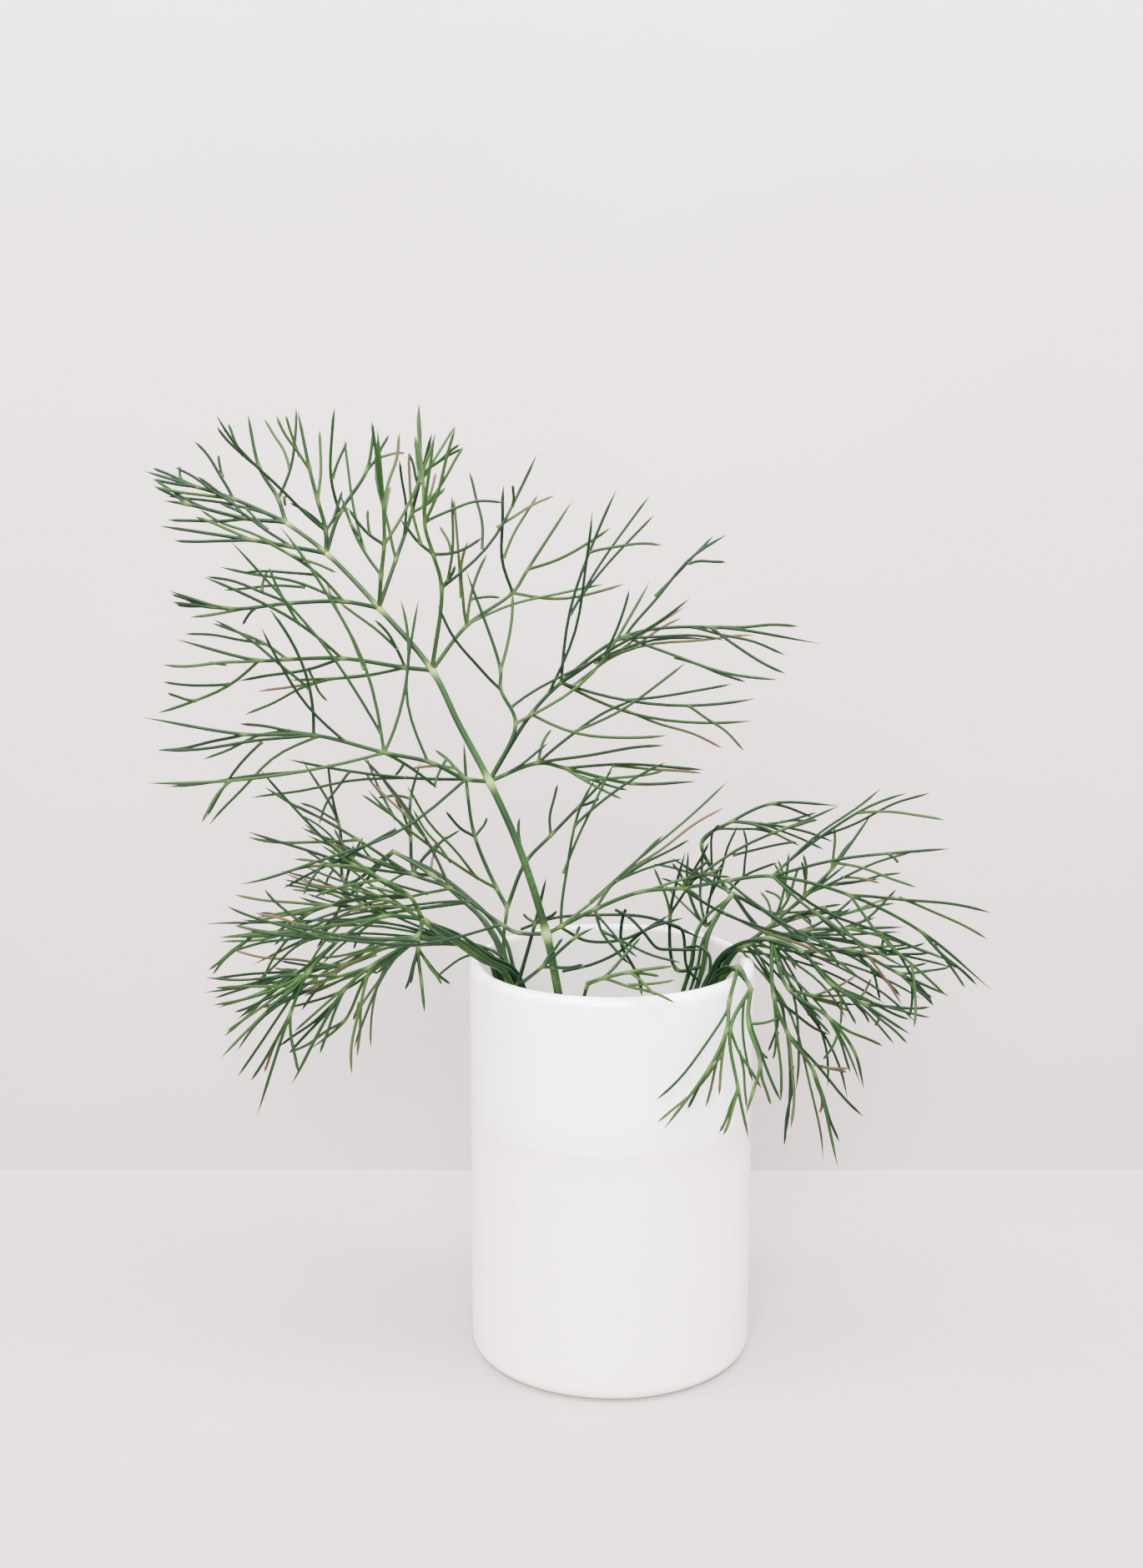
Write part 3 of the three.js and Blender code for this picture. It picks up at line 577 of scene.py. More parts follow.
        "route": [[-78, -10, 125], [-93, -12, 126], [-108, -13, 125]],
        "twigs": [
          [0, -0.2, [-173, 27], [-142, 25]], [1, -0.2, [165, 11], [-146, 21]], [0, 0.3, [149, 22]],
        ],
      },
      {
        "name": "middle",
        "route": [[-65, -8, 123], [-74, -12, 117], [-86, -15, 116], [-97, -16, 110], [-109, -17, 106]],
        "twigs": [
          [1, 0.3, [-169, 40], [-170, 21]], [1, -0.2, [-134, 17], [-150, 25]], [2, -0.3, [-141, 26]],
          [2, 0.2, [-165, 25]],
        ],
      },
      {
        "name": "hanging",
        "route": [[-54, -6, 123], [-60, -2, 117], [-69, 1, 110], [-76, 3, 96], [-86, 5, 87]],
        "twigs": [
          [1, -0.2, [-125, 22]], [1, 0.3, [-152, 32], [-135, 9]], [2, 0.25, [-154, 26]],
          [2, -0.3, [-97, 22]], [3, 0.2, [-147, 20]],
        ],
      },
      {
        "name": "over",
        "route": [[-44, -4, 121], [-64, -2, 133], [-79, -1, 131], [-101, 0, 127]],
        "twigs": [
          [1, 0.25, [172, 29], [153, 13]], [1, -0.2, [-164, 25], [-162, 9]], [2, -0.2, [-170, 26]],
          [2, 0.3, [178, 28]],
        ],
      },
    ],
  },
  {
    "name": "back_left",
    "radii": [1, 0.6],
    "bow": -0.15,
    "route": [
      [4, 18, 9], [-14, 17, 62], [-30, 13, 108], [-32, 15, 115], [-36, 18, 121], [-42, 22, 126],
      [-52, 30, 132], [-64, 36, 138],
    ],
    "leaves": [
      {
        "name": "low",
        "route": [[-42, 22, 126], [-66, 28, 121], [-79, 33, 117], [-107, 36, 103]],
        "twigs": [
          [1, 0.25, [155, 23], [140, 12]], [1, -0.25, [-143, 23], [-132, 14]], [2, 0.2, [-168, 39]],
          [2, -0.2, [-127, 22]], [1, 0.4, [175, 27]],
        ],
      },
      {
        "name": "up",
        "route": [[-52, 30, 132], [-58, 36, 132], [-59, 38, 142], [-59, 40, 153], [-56, 42, 164]],
        "twigs": [
          [1, 0.25, [40, 18], [49, 10]], [1, -0.3, [-154, 10]], [2, 0.2, [141, 19], [121, 26]],
          [2, -0.3, [108, 14]], [3, 0.3, [-178, 10]],
        ],
      },
      {
        "name": "end",
        "route": [[-64, 36, 138], [-79, 42, 127], [-81, 44, 145], [-92, 47, 164]],
        "twigs": [
          [1, 0.25, [144, 15], [-144, 9]], [1, -0.25, [68, 16]], [2, -0.2, [97, 19]],
          [2, 0.25, [156, 13]],
        ],
      },
      {
        "name": "side",
        "route": [[-64, 36, 138], [-79, 38, 123], [-90, 40, 118], [-106, 42, 108]],
        "twigs": [
          [1, 0.25, [156, 14], [173, 19]], [1, -0.25, [-112, 9], [-120, 17]], [2, 0.2, [-178, 15]],
          [2, -0.2, [-138, 14]],
        ],
      },
    ],
  },
  {
    "name": "middle",
    "radii": [0.8, 0.5],
    "bow": 0.2,
    "route": [
      [2, -10, 9], [-13, -10, 62], [-27, -11, 111], [-30, -12, 122], [-29, -11, 133],
    ],
    "leaves": [
      {
        "name": "left",
        "route": [[-29, -11, 133], [-32, -9, 138], [-38, -6, 152], [-40, -4, 164], [-41, -2, 178]],
        "twigs": [
          [1, -0.2, [137, 46], [135, 32]], [2, 0.3, [56, 6]], [2, -0.3, [135, 11]],
        ],
      },
      {
        "name": "right",
        "route": [[-29, -11, 133], [-24, -8, 145], [-17, -5, 152], [-9, -3, 160], [0, 0, 169]],
        "twigs": [
          [2, 0.25, [82, 14]], [1, 0.3, [98, 12]], [3, -0.3, [24, 6]],
        ],
      },
    ],
  },
  {
    "name": "short",
    "radii": [0.7, 0.5],
    "bow": 0.2,
    "route": [
      [-10, -14, 9], [-20, -20, 60], [-25, -22, 108], [-26, -23, 114],
    ],
    "leaves": [
      {
        "name": "up",
        "route": [[-26, -23, 114], [-21, -27, 133], [-18, -29, 146]],
        "twigs": [
          [1, 0.3, [146, 4]], [1, -0.3, [33, 7]],
        ],
      },
      {
        "name": "right",
        "route": [[-26, -23, 114], [-19, -35, 123], [-10, -38, 132], [-5, -39, 135]],
        "twigs": [
          [2, 0.3, [71, 3]], [1, 0.3, [53, 9]], [1, -0.3, [9, 11]],
        ],
      },
    ],
  },
  {
    "name": "right",
    "radii": [1.1, 0.7],
    "bow": -0.15,
    "route": [
      [-10, 4, 9], [12, 4, 62], [31, 4, 108], [34, 3, 115], [38, 2, 119], [45, 0, 121], [54, -3, 118],
    ],
    "leaves": [
      {
        "name": "end",
        "route": [[54, -3, 118], [67, -5, 119], [80, -7, 113], [94, -9, 107]],
        "twigs": [
          [1, 0.25, [-6, 23], [24, 10]], [1, -0.25, [-43, 19], [-60, 16]], [2, 0.2, [3, 10], [1, 15]],
          [2, -0.2, [-42, 13], [-76, 13]],
        ],
      },
      {
        "name": "low",
        "route": [[54, -3, 118], [61, -7, 110], [70, -10, 105], [83, -13, 97]],
        "twigs": [
          [1, 0.25, [-28, 27], [1, 12]], [1, -0.25, [-57, 13], [-76, 12]],
          [2, -0.2, [-41, 16], [-62, 7]], [2, 0.25, [-4, 19]],
        ],
      },
      {
        "name": "hanging",
        "route": [[45, 0, 121], [49, -8, 109], [60, -13, 102], [67, -15, 93], [70, -16, 82]],
        "twigs": [
          [1, 0.25, [-18, 21], [4, 20]], [1, -0.25, [-46, 17], [-52, 10]],
          [2, -0.2, [-68, 16], [-97, 12]], [2, 0.3, [-32, 19]],
        ],
      },
      {
        "name": "drooping",
        "route": [[45, 0, 121], [45, -9, 107], [49, -12, 97], [56, -15, 87], [63, -18, 60]],
        "twigs": [
          [1, -0.2, [-86, 29], [-90, 18]], [1, 0.25, [-38, 21]], [2, -0.3, [-89, 25], [-92, 31]],
          [2, 0.2, [-50, 35], [-35, 22]], [3, 0.2, [-70, 24], [-80, 14]],
        ],
      },
      {
        "name": "back",
        "route": [[38, 2, 119], [46, 6, 124], [55, 10, 131], [63, 13, 138], [75, 17, 154]],
        "twigs": [
          [1, 0.25, [77, 20], [105, 9]], [1, -0.25, [20, 20], [-3, 11]], [2, 0.3, [18, 35], [3, 23]],
          [3, -0.2, [90, 13]], [2, -0.25, [94, 13]],
        ],
      },
      {
        "name": "across",
        "route": [[38, 2, 119], [55, 2, 123], [67, 0, 124], [82, -2, 125]],
        "twigs": [
          [1, 0.25, [32, 16], [11, 27]], [1, -0.25, [-48, 14], [-24, 18]], [2, -0.2, [-14, 27]],
          [2, 0.25, [38, 17]],
        ],
      },
    ],
  },
  {
    "name": "front",
    "radii": [0.8, 0.6],
    "bow": -0.15,
    "route": [
      [-6, -6, 9], [13, -9, 62], [28, -12, 106], [31, -16, 115], [34, -21, 118.5], [37, -28, 115],
    ],
    "leaves": [
      {
        "name": "left",
        "route": [[34, -21, 118.5], [31, -31, 112], [30, -37, 106], [25, -42, 97], [13, -45, 81]],
        "twigs": [
          [2, -0.25, [-97, 17], [-127, 31]], [2, 0.1, [-103, 23]], [3, 0.15, [-114, 13]],
        ],
      },
      {
        "name": "middle",
        "route": [[37, -28, 115], [31, -36, 106], [33, -40, 91], [36, -42, 77]],
        "twigs": [
          [1, -0.25, [-123, 10]], [1, -0.1, [-62, 18], [-78, 23]], [2, -0.2, [-108, 13]],
        ],
      },
      {
        "name": "right",
        "route": [[37, -28, 115], [36, -34, 107], [39, -38, 97], [37, -40, 90], [35, -42, 84]],
        "twigs": [
          [1, -0.2, [-67, 22], [-61, 11]], [2, 0.15, [-75, 13]], [1, 0.2, [7, 8]],
        ],
      },
    ],
  },
  {
    "name": "back_right",
    "radii": [1, 0.7],
    "bow": -0.15,
    "route": [
      [-8, 12, 9], [11, 16, 62], [27, 18, 108], [28, 20, 115], [31, 24, 121], [36, 28, 127],
    ],
    "leaves": [
      {
        "name": "up",
        "route": [[31, 24, 121], [28, 26, 118], [23, 29, 128], [23, 32, 139]],
        "twigs": [
          [1, 0.25, [92, 22], [136, 18]], [1, -0.25, [77, 21], [74, 32]], [2, 0.25, [122, 9]],
          [2, -0.2, [69, 16]],
        ],
      },
      {
        "name": "tall",
        "route": [
          [36, 28, 127], [35, 31, 127], [27, 34, 141], [36, 36, 147], [48, 38, 152], [68, 40, 151],
        ],
        "twigs": [
          [3, 0.2, [-14, 32], [2, 26]], [3, -0.2, [-18, 21], [-14, 14]],
          [1, 0.3, [163, 23], [154, 15]], [2, -0.3, [50, 8]], [4, 0.2, [-21, 13]],
          [1, -0.25, [35, 17], [79, 20]],
        ],
      },
      {
        "name": "side",
        "route": [[36, 28, 127], [50, 32, 120], [60, 35, 126], [71, 38, 134]],
        "twigs": [
          [1, 0.25, [66, 15], [90, 15]], [1, -0.25, [3, 18], [-15, 10]], [2, 0.2, [51, 19]],
          [2, -0.2, [14, 20], [13, 27]],
        ],
      },
      {
        "name": "low",
        "route": [[36, 28, 127], [45, 28, 116], [58, 27, 115], [72, 26, 113]],
        "twigs": [
          [1, 0.25, [25, 14], [9, 22]], [1, -0.25, [-49, 15], [-29, 21]], [2, 0.2, [11, 21]],
          [2, -0.2, [-27, 21]],
        ],
      },
      {
        "name": "inner",
        "route": [[27, 18, 108], [19, 14, 108], [17, 12, 125], [21, 10, 144]],
        "twigs": [
          [1, 0.25, [124, 19], [118, 28]], [1, -0.25, [78, 15], [73, 30]], [2, 0.2, [110, 14]],
          [2, -0.3, [59, 13]], [1, 0.4, [136, 10]],
        ],
      },
    ],
  },
  {
    "name": "sprig",
    "radii": [0.6, 0.5],
    "bow": -0.1,
    "route": [
      [-4, -25, 84], [-8, -31, 112], [-7, -34, 118],
    ],
    "leaves": [
      {
        "name": "end",
        "route": [[-7, -34, 118], [-3, -39, 121], [4, -40, 123], [16, -41, 125]],
        "twigs": [
          [1, -0.1, [-18, 20], [-2, 19]], [1, 0.25, [46, 10], [44, 14]], [2, 0.1, [-10, 8]],
          [2, -0.2, [-42, 9]],
        ],
      },
    ],
  },
]


# How the fronds grow. A leaf starts on its stem, and its route's other points are its joints.
# A twig is [joint, lean, end, end, ...]: the joint it grows from, how far it goes back for every
# millimetre, and the ends of its threads, each as [angle, length] from the joint, seen from the front.
# A frond's bow is how far its threads curve, as a share of their length: above 0 they set off wide of
# their parent and curve forward, and below 0 they set off along it and droop away.
growthSettings = {
    "gap": 0.3,
    "axisRadius": 0.7,
    "threadRadius": 0.45,
    "axisSteps": 2,
    "forkSpread": 0.14,
    "forkBow": -0.14,
    "rootShare": 0.2,
    "leanStep": 0.08,
    "leanTries": 11,
    "vaseClearance": 1,
    "searchMargin": 4,
    "cutShare": 0.25,
    "shortestStart": 0.6,
    "threadPlaces": (0, 0.34, 0.66, 1),
}

laid = {"starts": np.zeros((0, 3)), "ends": np.zeros((0, 3)), "radii": np.zeros(0), "owners": np.zeros(0)}


def smoothRoute(points, steps):
    # a centripetal curve through every point, in short straight steps
    points = [np.array(point, float) for point in points]
    padded = [2 * points[0] - points[1], *points, 2 * points[-1] - points[-2]]
    route = []
    for k in range(len(points) - 1):
        before, first, second, after = padded[k:k + 4]
        pairs = ((before, first), (first, second), (second, after))
        gaps = [np.dot(b - a, b - a) ** 0.25 for a, b in pairs]
        leaving = gaps[1] * (
            (first - before) / gaps[0]
            - (second - before) / (gaps[0] + gaps[1])
            + (second - first) / gaps[1]
        )
        arriving = gaps[1] * (
            (second - first) / gaps[1]
            - (after - first) / (gaps[1] + gaps[2])
            + (after - second) / gaps[2]
        )
        for step in range(steps):
            t = step / steps
            route.append(
                first + leaving * t
                + (3 * (second - first) - 2 * leaving - arriving) * t ** 2
                + (2 * (first - second) + leaving + arriving) * t ** 3
            )
    route.append(points[-1])
    return route


def bowedThread(root, end, parentTangent, places, bow):
    # it bows to one side of the straight line from its root to its end
    chord = end - root
    length = np.linalg.norm(chord)
    forward = chord / length
    away = forward * np.dot(parentTangent, forward) - parentTangent
    control = (root + end) / 2 + away * bow * length
    return [
        root * (1 - t) ** 2 + control * 2 * t * (1 - t) + end * t ** 2
        for t in places
    ]


def layDown(points, radius, owner):
    count = len(points) - 1
    laid["starts"] = np.vstack([laid["starts"], points[:-1]])
    laid["ends"] = np.vstack([laid["ends"], points[1:]])
    laid["radii"] = np.append(laid["radii"], np.full(count, radius))
    laid["owners"] = np.append(laid["owners"], np.full(count, owner))


def isFree(a, b, radius, owner):
    # whether the stretch from a to b stays clear of every stretch laid so far, apart from its own leaf's
    s = growthSettings
    lengths = np.linalg.norm(laid["ends"] - laid["starts"], axis=1)
    away = np.linalg.norm(laid["starts"] - a, axis=1)
    near = (laid["owners"] != owner) & (away < np.linalg.norm(b - a) + lengths + s["searchMargin"])
    if not near.any():
        return True
    c = laid["starts"][near]
    u = b - a
    v = laid["ends"][near] - c
    w = a - c
    uu = u @ u
    vv = (v * v).sum(1)
    uv = v @ u
    uw = w @ u
    vw = (v * w).sum(1)
    bottom = uu * vv - uv * uv
    safe = np.where(bottom > 1e-9, bottom, 1)
    along = np.where(bottom > 1e-9, np.clip((uv * vw - vv * uw) / safe, 0, 1), 0)
    across = np.clip((uv * along + vw) / vv, 0, 1)
    along = np.clip((uv * across - uw) / uu, 0, 1)
    distance = np.linalg.norm(w + along[:, None] * u - across[:, None] * v, axis=1)
    return not np.any(distance < laid["radii"][near] + radius + s["gap"])


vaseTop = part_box("vase")[1] / mm


def isOffVase(point):
    clearance = growthSettings["vaseClearance"]
    overWall = math.hypot(point[0], point[1]) < vaseTop.x + clearance
    return not (overWall and point[2] < vaseTop.z + clearance)


def threadFits(points, radius, owner):
    for k in range(1, len(points)):
        middle = (points[k] + points[k - 1]) / 2
        if not isOffVase(points[k]) or not isOffVase(middle):
            return False
        if not isFree(points[k - 1], points[k], radius, owner):
            return False
    return True


def clearAxis(points, owner):
    # the part of a leaf's axis that is clear of its stem and of the leaves that share its joint
    s = growthSettings
    steps = list(points)
    while len(steps) > 3 and not isFree(steps[0], steps[1], s["axisRadius"], owner):
        cut = steps[0] * (1 - s["cutShare"]) + steps[1] * s["cutShare"]
        if np.linalg.norm(cut - steps[1]) < s["shortestStart"]:
            steps.pop(0)
        else:
            steps[0] = cut
    return steps


def growThread(root, joint, end, lean, parentTangent, places, bow, owner):
    # tries a thread, then leans it a little further back or forward until it is clear
    s = growthSettings
    angle, length = end
    for turn in range(s["leanTries"]):
        nudge = math.ceil(turn / 2) * s["leanStep"] * (1 if turn % 2 == 0 else -1)
        reach = np.array([math.cos(math.radians(angle)), lean + nudge, math.sin(math.radians(angle))])
        points = bowedThread(root, joint + reach * length, parentTangent, places, bow)
        tested = [points[0] * (1 - s["rootShare"]) + points[1] * s["rootShare"], *points[1:]]
        if threadFits(tested, s["threadRadius"], owner):
            return points
    return None


def growLeaf(leaf, bow, owner):
    # its threads: the first one of each twig, and the ones that fork from it
    s = growthSettings
    threads = []
    smooth = smoothRoute(leaf["route"], s["axisSteps"])
    for jointNumber, lean, firstEnd, *forkEnds in leaf["twigs"]:
        place = jointNumber * s["axisSteps"]
        joint = smooth[place]
        root = leaf["axis"][0] if jointNumber == 0 else joint
        tangent = smooth[place + 1] - joint
        tangent = tangent / np.linalg.norm(tangent)
        first = growThread(root, joint, firstEnd, lean, tangent, s["threadPlaces"], bow, owner)
        if first is None:
            continue
        threads.append({"path": first, "tangent": tangent, "bow": bow})
        forkRoots = (first[1], first[2], (first[1] + first[2]) / 2)
        forkTangent = (first[2] - first[1]) / np.linalg.norm(first[2] - first[1])
        for k, forkEnd in enumerate(forkEnds):
            forkLean = lean + (s["forkSpread"] if k % 2 == 0 else -s["forkSpread"])
            fork = growThread(forkRoots[k], joint, forkEnd, forkLean, forkTangent, (0, 1), 0, owner)
            if fork is not None:
                threads.append({"path": fork, "tangent": forkTangent, "bow": s["forkBow"]})
    return threads


def growFronds():
    # stems first, then every axis, then the threads, so that none grows through another
    for owner, frond in enumerate(fronds):
        frond["node"] = frond["name"] + "_stem"
        layDown(smoothRoute(frond["route"], 2), frond["radii"][0], -1 - owner)
    leaves = [(frond, leaf) for frond in fronds for leaf in frond["leaves"]]
    for owner, (frond, leaf) in enumerate(leaves):
        leaf["node"] = frond["name"] + "_leaf_" + leaf["name"]
        smooth = smoothRoute(leaf["route"], growthSettings["axisSteps"])
        leaf["axis"] = clearAxis(smooth, owner)
        layDown(leaf["axis"], growthSettings["axisRadius"], owner)
    for owner, (frond, leaf) in enumerate(leaves):
        leaf["threads"] = growLeaf(leaf, frond["bow"], owner)
        for thread in leaf["threads"]:
            layDown(thread["path"], growthSettings["threadRadius"], owner)
    print("fronds grown:", sum(len(leaf["threads"]) for frond, leaf in leaves), "threads")


growFronds()


# Finer threads that the plain model leaves out, each forked from one of the threads above.
fineSettings = {
    "shortest": 11,
    "chances": (0.25, 0.05),
    # the fronds that stand up are open, so they get fewer of these
    "openFronds": ("tall", "middle", "short", "sprig"),
    "openShare": 0.3,
    "starts": (0.03, 0.28),
    "turn": (5, 12),
    "length": (0.78, 1.06),
    "lean": 0.25,
    "bow": -0.14,
    "tangentStep": 0.02,
    "arcPlaces": (0.25, 0.5, 0.75, 1),
    # long threads that set off from the leaf's axis, some way before the thread they follow
    "longChance": 0.25,
    "longStarts": (3, 14),
    "longTurn": (2, 9),
    "longBow": -0.2,
    # threads that fan out from a stem where it bends over the lip, as (angle, length, lean)
    "fanBow": -0.2,
    "fans": {
        "right": {
            "shares": (0.84, 0.94),
            "tangent": (0.92, -0.1, 0.38),
            "ends": (
                (-8, 67, -0.1), (-11, 54, 0.1), (-15, 51, -0.2), (-21, 46, 0.05), (-27, 47, -0.25),
                (-7, 37, 0.15), (-50, 48, -0.3), (-56, 52, -0.15), (-68, 61, -0.3), (-68, 46, -0.1),
                (-80, 54, -0.25), (-80, 40, -0.4), (-66, 29, 0), (3, 45, 0.1), (-39, 33, -0.2),
            ),
        },
        "low": {
            "shares": (0.73, 0.82),
            "tangent": (-0.75, -0.05, 0.66),
            "ends": (
                (173, 74, -0.1), (178, 70, 0.05), (159, 52, 0.15), (168, 40, -0.2), (145, 38, 0.25),
                (180, 46, -0.1), (184, 36, -0.25), (205, 14, -0.3),
            ),
        },
    },
    # leaf stalks that run down beside the stem, into the vase
    "stalkFronds": ("left", "low", "back_left", "right", "front", "back_right"),
    "stalkFloor": 62,
    "stalkOffsets": (1.4, 4.2),
    "stalkMeeting": 7,
    "stalkRadii": (0.46, 0.52),
    "stalkTurn": 1.3,
    "stalkShade": (0, 0.55),
    "stalkAlong": 0.3,
    # curled threads that hang in the mouth, between the stems
    "curlLeaf": "inner",
    "curlRadius": 0.5,
    "curlShade": 0.15,
    "curls": (
        ((1, 6, 128), (5, 5, 126), (9, 4, 122), (13, 5, 117), (17, 7, 116), (26, 10, 115)),
        ((4, 6, 128), (3, 7, 124), (3, 8, 117), (6, 9, 111), (8, 9, 107), (9, 10, 101)),
        ((16, 10, 123), (20, 11, 121), (21, 12, 118), (22, 13, 109), (26, 14, 104)),
        ((21, 12, 115), (25, 10, 116), (28, 8, 114), (28, 7, 108), (26, 6, 104)),
        ((-14, 8, 122), (-7, 9, 118), (3, 10, 118), (13, 11, 122), (21, 12, 124)),
        ((-14, 12, 108), (-5, 13, 110), (3, 13, 114), (8, 12, 119), (17, 12, 125)),
        ((-26, 14, 120), (-17, 15, 123), (-5, 15, 124), (11, 16, 123), (27, 18, 116)),
    ),
}


def spread(direction, angle, lean):
    # turned in the plane seen from the front, and leaned back or forward
    c = math.cos(math.radians(angle))
    s = math.sin(math.radians(angle))
    x, y, z = direction
    return np.array([x * c - z * s, y + lean * math.hypot(x, z), x * s + z * c])


def growFineThreads(leaf, density, chance):
    s = fineSettings
    fine = []
    for thread in leaf["threads"]:
        root, end = thread["path"][0], thread["path"][-1]
        side = chance.choice((-1, 1))
        for share in s["chances"]:
            start = chance.uniform(*s["starts"])
            turn = side * chance.uniform(*s["turn"])
            scale = chance.uniform(*s["length"])
            lean = chance.uniform(-s["lean"], s["lean"])
            side = -side
            if np.linalg.norm(end - root) < s["shortest"] or chance.random() > share * density:
                continue
            places = (start, start + s["tangentStep"])
            a, b = bowedThread(root, end, thread["tangent"], places, thread["bow"])
            forward = (b - a) / np.linalg.norm(b - a)
            tip = a + spread((end - a) * scale, turn, lean)
            if isInside(tip) and isOffVase(tip) and isOffVase((a + tip) / 2):
                fine.append({"path": [a, tip], "tangent": forward, "bow": s["bow"]})
    return fine


def arcIsClear(root, tip, tangent, bow):
    arc = bowedThread(root, tip, tangent, fineSettings["arcPlaces"], bow)
    return all(isInside(point) and isOffVase(point) for point in arc)


def growLongThreads(leaf, density, chance):
    s = fineSettings
    axis = evenSteps(smoothRoute(leaf["route"], 8), 1)
    long = []
    for thread in leaf["threads"]:
        root, end = thread["path"][0], thread["path"][-1]
        back = chance.uniform(*s["longStarts"])
        turn = chance.choice((-1, 1)) * chance.uniform(*s["longTurn"])
        scale = chance.uniform(*s["length"])
        lean = chance.uniform(-s["lean"], s["lean"])
        nearest = int(np.linalg.norm(axis - root, axis=1).argmin())
        place = int(nearest - back)
        if place < 1 or chance.random() > s["longChance"] * density:
            continue
        start = axis[place]
        tangent = (axis[place + 1] - start) / np.linalg.norm(axis[place + 1] - start)
        tip = start + spread((end - start) * scale, turn, lean)
        if arcIsClear(start, tip, tangent, s["longBow"]):
            long.append({"path": [start, tip], "tangent": tangent, "bow": s["longBow"]})
    return long


def growFan(frond, chance):
    s = fineSettings
    fan = s["fans"][frond["name"]]
    stem = evenSteps(smoothRoute(frond["route"], 8), 1)
    tangent = np.array(fan["tangent"]) / np.linalg.norm(fan["tangent"])
    threads = []
    for angle, length, lean in fan["ends"]:
        root = stem[int(chance.uniform(*fan["shares"]) * (len(stem) - 1))]
        end = root + spread((length, 0, 0), angle, lean)
        if arcIsClear(root, end, tangent, s["fanBow"]):
            threads.append({"path": [root, end], "tangent": tangent, "bow": s["fanBow"]})
    print(frond["name"], "fan:", len(threads), "threads")
    return threads


def addStalk(frond, leaf, chance):
    # from the leaf's joint down beside its stem, mostly on the side nearer the vase's middle
    s = fineSettings
    joint = np.array(leaf["route"][0], float)
    stem = evenSteps(smoothRoute(frond["route"], 8), 2)
    away = np.linalg.norm(stem - joint, axis=1)
    stem = stem[:int(away.argmin()) + 1]
    stem = stem[stem[:, 2] > s["stalkFloor"]]
    middle = math.atan2(-stem[-1][1], -stem[-1][0]) + chance.uniform(-s["stalkTurn"], s["stalkTurn"])
    aside = np.array([math.cos(middle), math.sin(middle), 0]) * chance.uniform(*s["stalkOffsets"])
    apart = 1 - np.exp(-((np.linalg.norm(stem - joint, axis=1) / s["stalkMeeting"]) ** 2))
    points = (stem + aside * apart[:, None])[::-1]
    first, last = s["stalkRadii"]
    radii = np.linspace(first, last, len(points))
    return plainStrand(points, radii, chance.uniform(*s["stalkShade"]))


def plainStrand(points, radii, shade):
    count = len(points)
    return {
        "points": points, "radii": radii, "along": [fineSettings["stalkAlong"]] * count,
        "pale": [0] * count, "shade": [shade] * count,
    }


boxLow = cadLow / mm
boxHigh = cadHigh / mm


def isInside(point):
    return all(low <= place <= high for low, place, high in zip(boxLow, point, boxHigh))


# A strand is a list of points, their radii, and what the material needs at each one.
def addStrands(name, strands, profile=None):
    curve = bpy.data.curves.new(name, "CURVE")
    curve.dimensions = "3D"
    curve.use_fill_caps = True
    if profile:
        curve.bevel_mode = "OBJECT"
        curve.bevel_object = profile
    else:
        curve.bevel_depth = mm
        curve.bevel_resolution = 2
    for strand in strands:
        spline = curve.splines.new("POLY")
        spline.points.add(len(strand["points"]) - 1)
        for point, place, radius in zip(spline.points, strand["points"], strand["radii"]):
            point.co = (*(place * mm), 1)
            point.radius = radius
        spline.use_smooth = True
    deselectAll()
    piece = bpy.data.objects.new(name, curve)
    bpy.context.scene.collection.objects.link(piece)
    piece.select_set(True)
    bpy.context.view_layer.objects.active = piece
    bpy.ops.object.convert(target="MESH")
    piece = bpy.context.object
    # the end caps come loose from the tube, so their corners are merged
    startEditing(piece)
    bpy.ops.mesh.select_all(action="SELECT")
    bpy.ops.mesh.remove_doubles(threshold=1e-6)
    bpy.ops.mesh.normals_make_consistent(inside=False)
    stopEditing()
    bpy.ops.object.shade_smooth_by_angle(angle=math.radians(50))
    return piece


def paintStrands(piece, strands, names):
    # every corner takes the values of the nearest point of a centre line
    samples = []
    for strand in strands:
        for k, place in enumerate(strand["points"]):
            samples.append((place * mm, [strand[name][k] for name in names]))
    tree = KDTree(len(samples))
    for k, (place, values) in enumerate(samples):
        tree.insert(Vector(place), k)
    tree.balance()
    found = [samples[tree.find(corner.co)[1]][1] for corner in piece.data.vertices]
    for column, name in enumerate(names):
        layer = piece.data.attributes.new(name, "FLOAT", "POINT")
        layer.data.foreach_set("value", [values[column] for values in found])


# Stems: ridged, a little swollen and paler where leaves join.
stemSettings = {
    "ridges": 9,
    "ridgeDepth": 0.055,
    "profileSides": 36,
    "spacing": 1.0,
    "swelling": 0.3,
    "swellingLength": 1.9,
    "paleLength": 1.8,
    "tipShare": 0.75,
    "brightFrond": "tall",
    # how pale the joints of the bright frond are, and of the others
    "palest": (0.8, 0.25),
    "middle": paint(11, 39, 7),
    "stripe": paint(34, 62, 20),
    "shade": paint(6, 29, 6),
    "joint": paint(122, 148, 80),
    "roughness": 0.5,
    "specular": 0.2,
}


def stemProfile():
    # a fluted outline, one unit in radius
    s = stemSettings
    bpy.ops.mesh.primitive_circle_add(vertices=s["profileSides"], radius=1, fill_type="NOTHING")
    profile = bpy.context.object
    for corner in profile.data.vertices:
        turn = math.atan2(corner.co.y, corner.co.x)
        corner.co *= 1 + s["ridgeDepth"] * (math.cos(s["ridges"] * turn) - 1) / 2
    bpy.ops.object.convert(target="CURVE")
    profile = bpy.context.object
    profile.name = "stemProfile"
    profile.scale = (mm, mm, mm)
    return profile


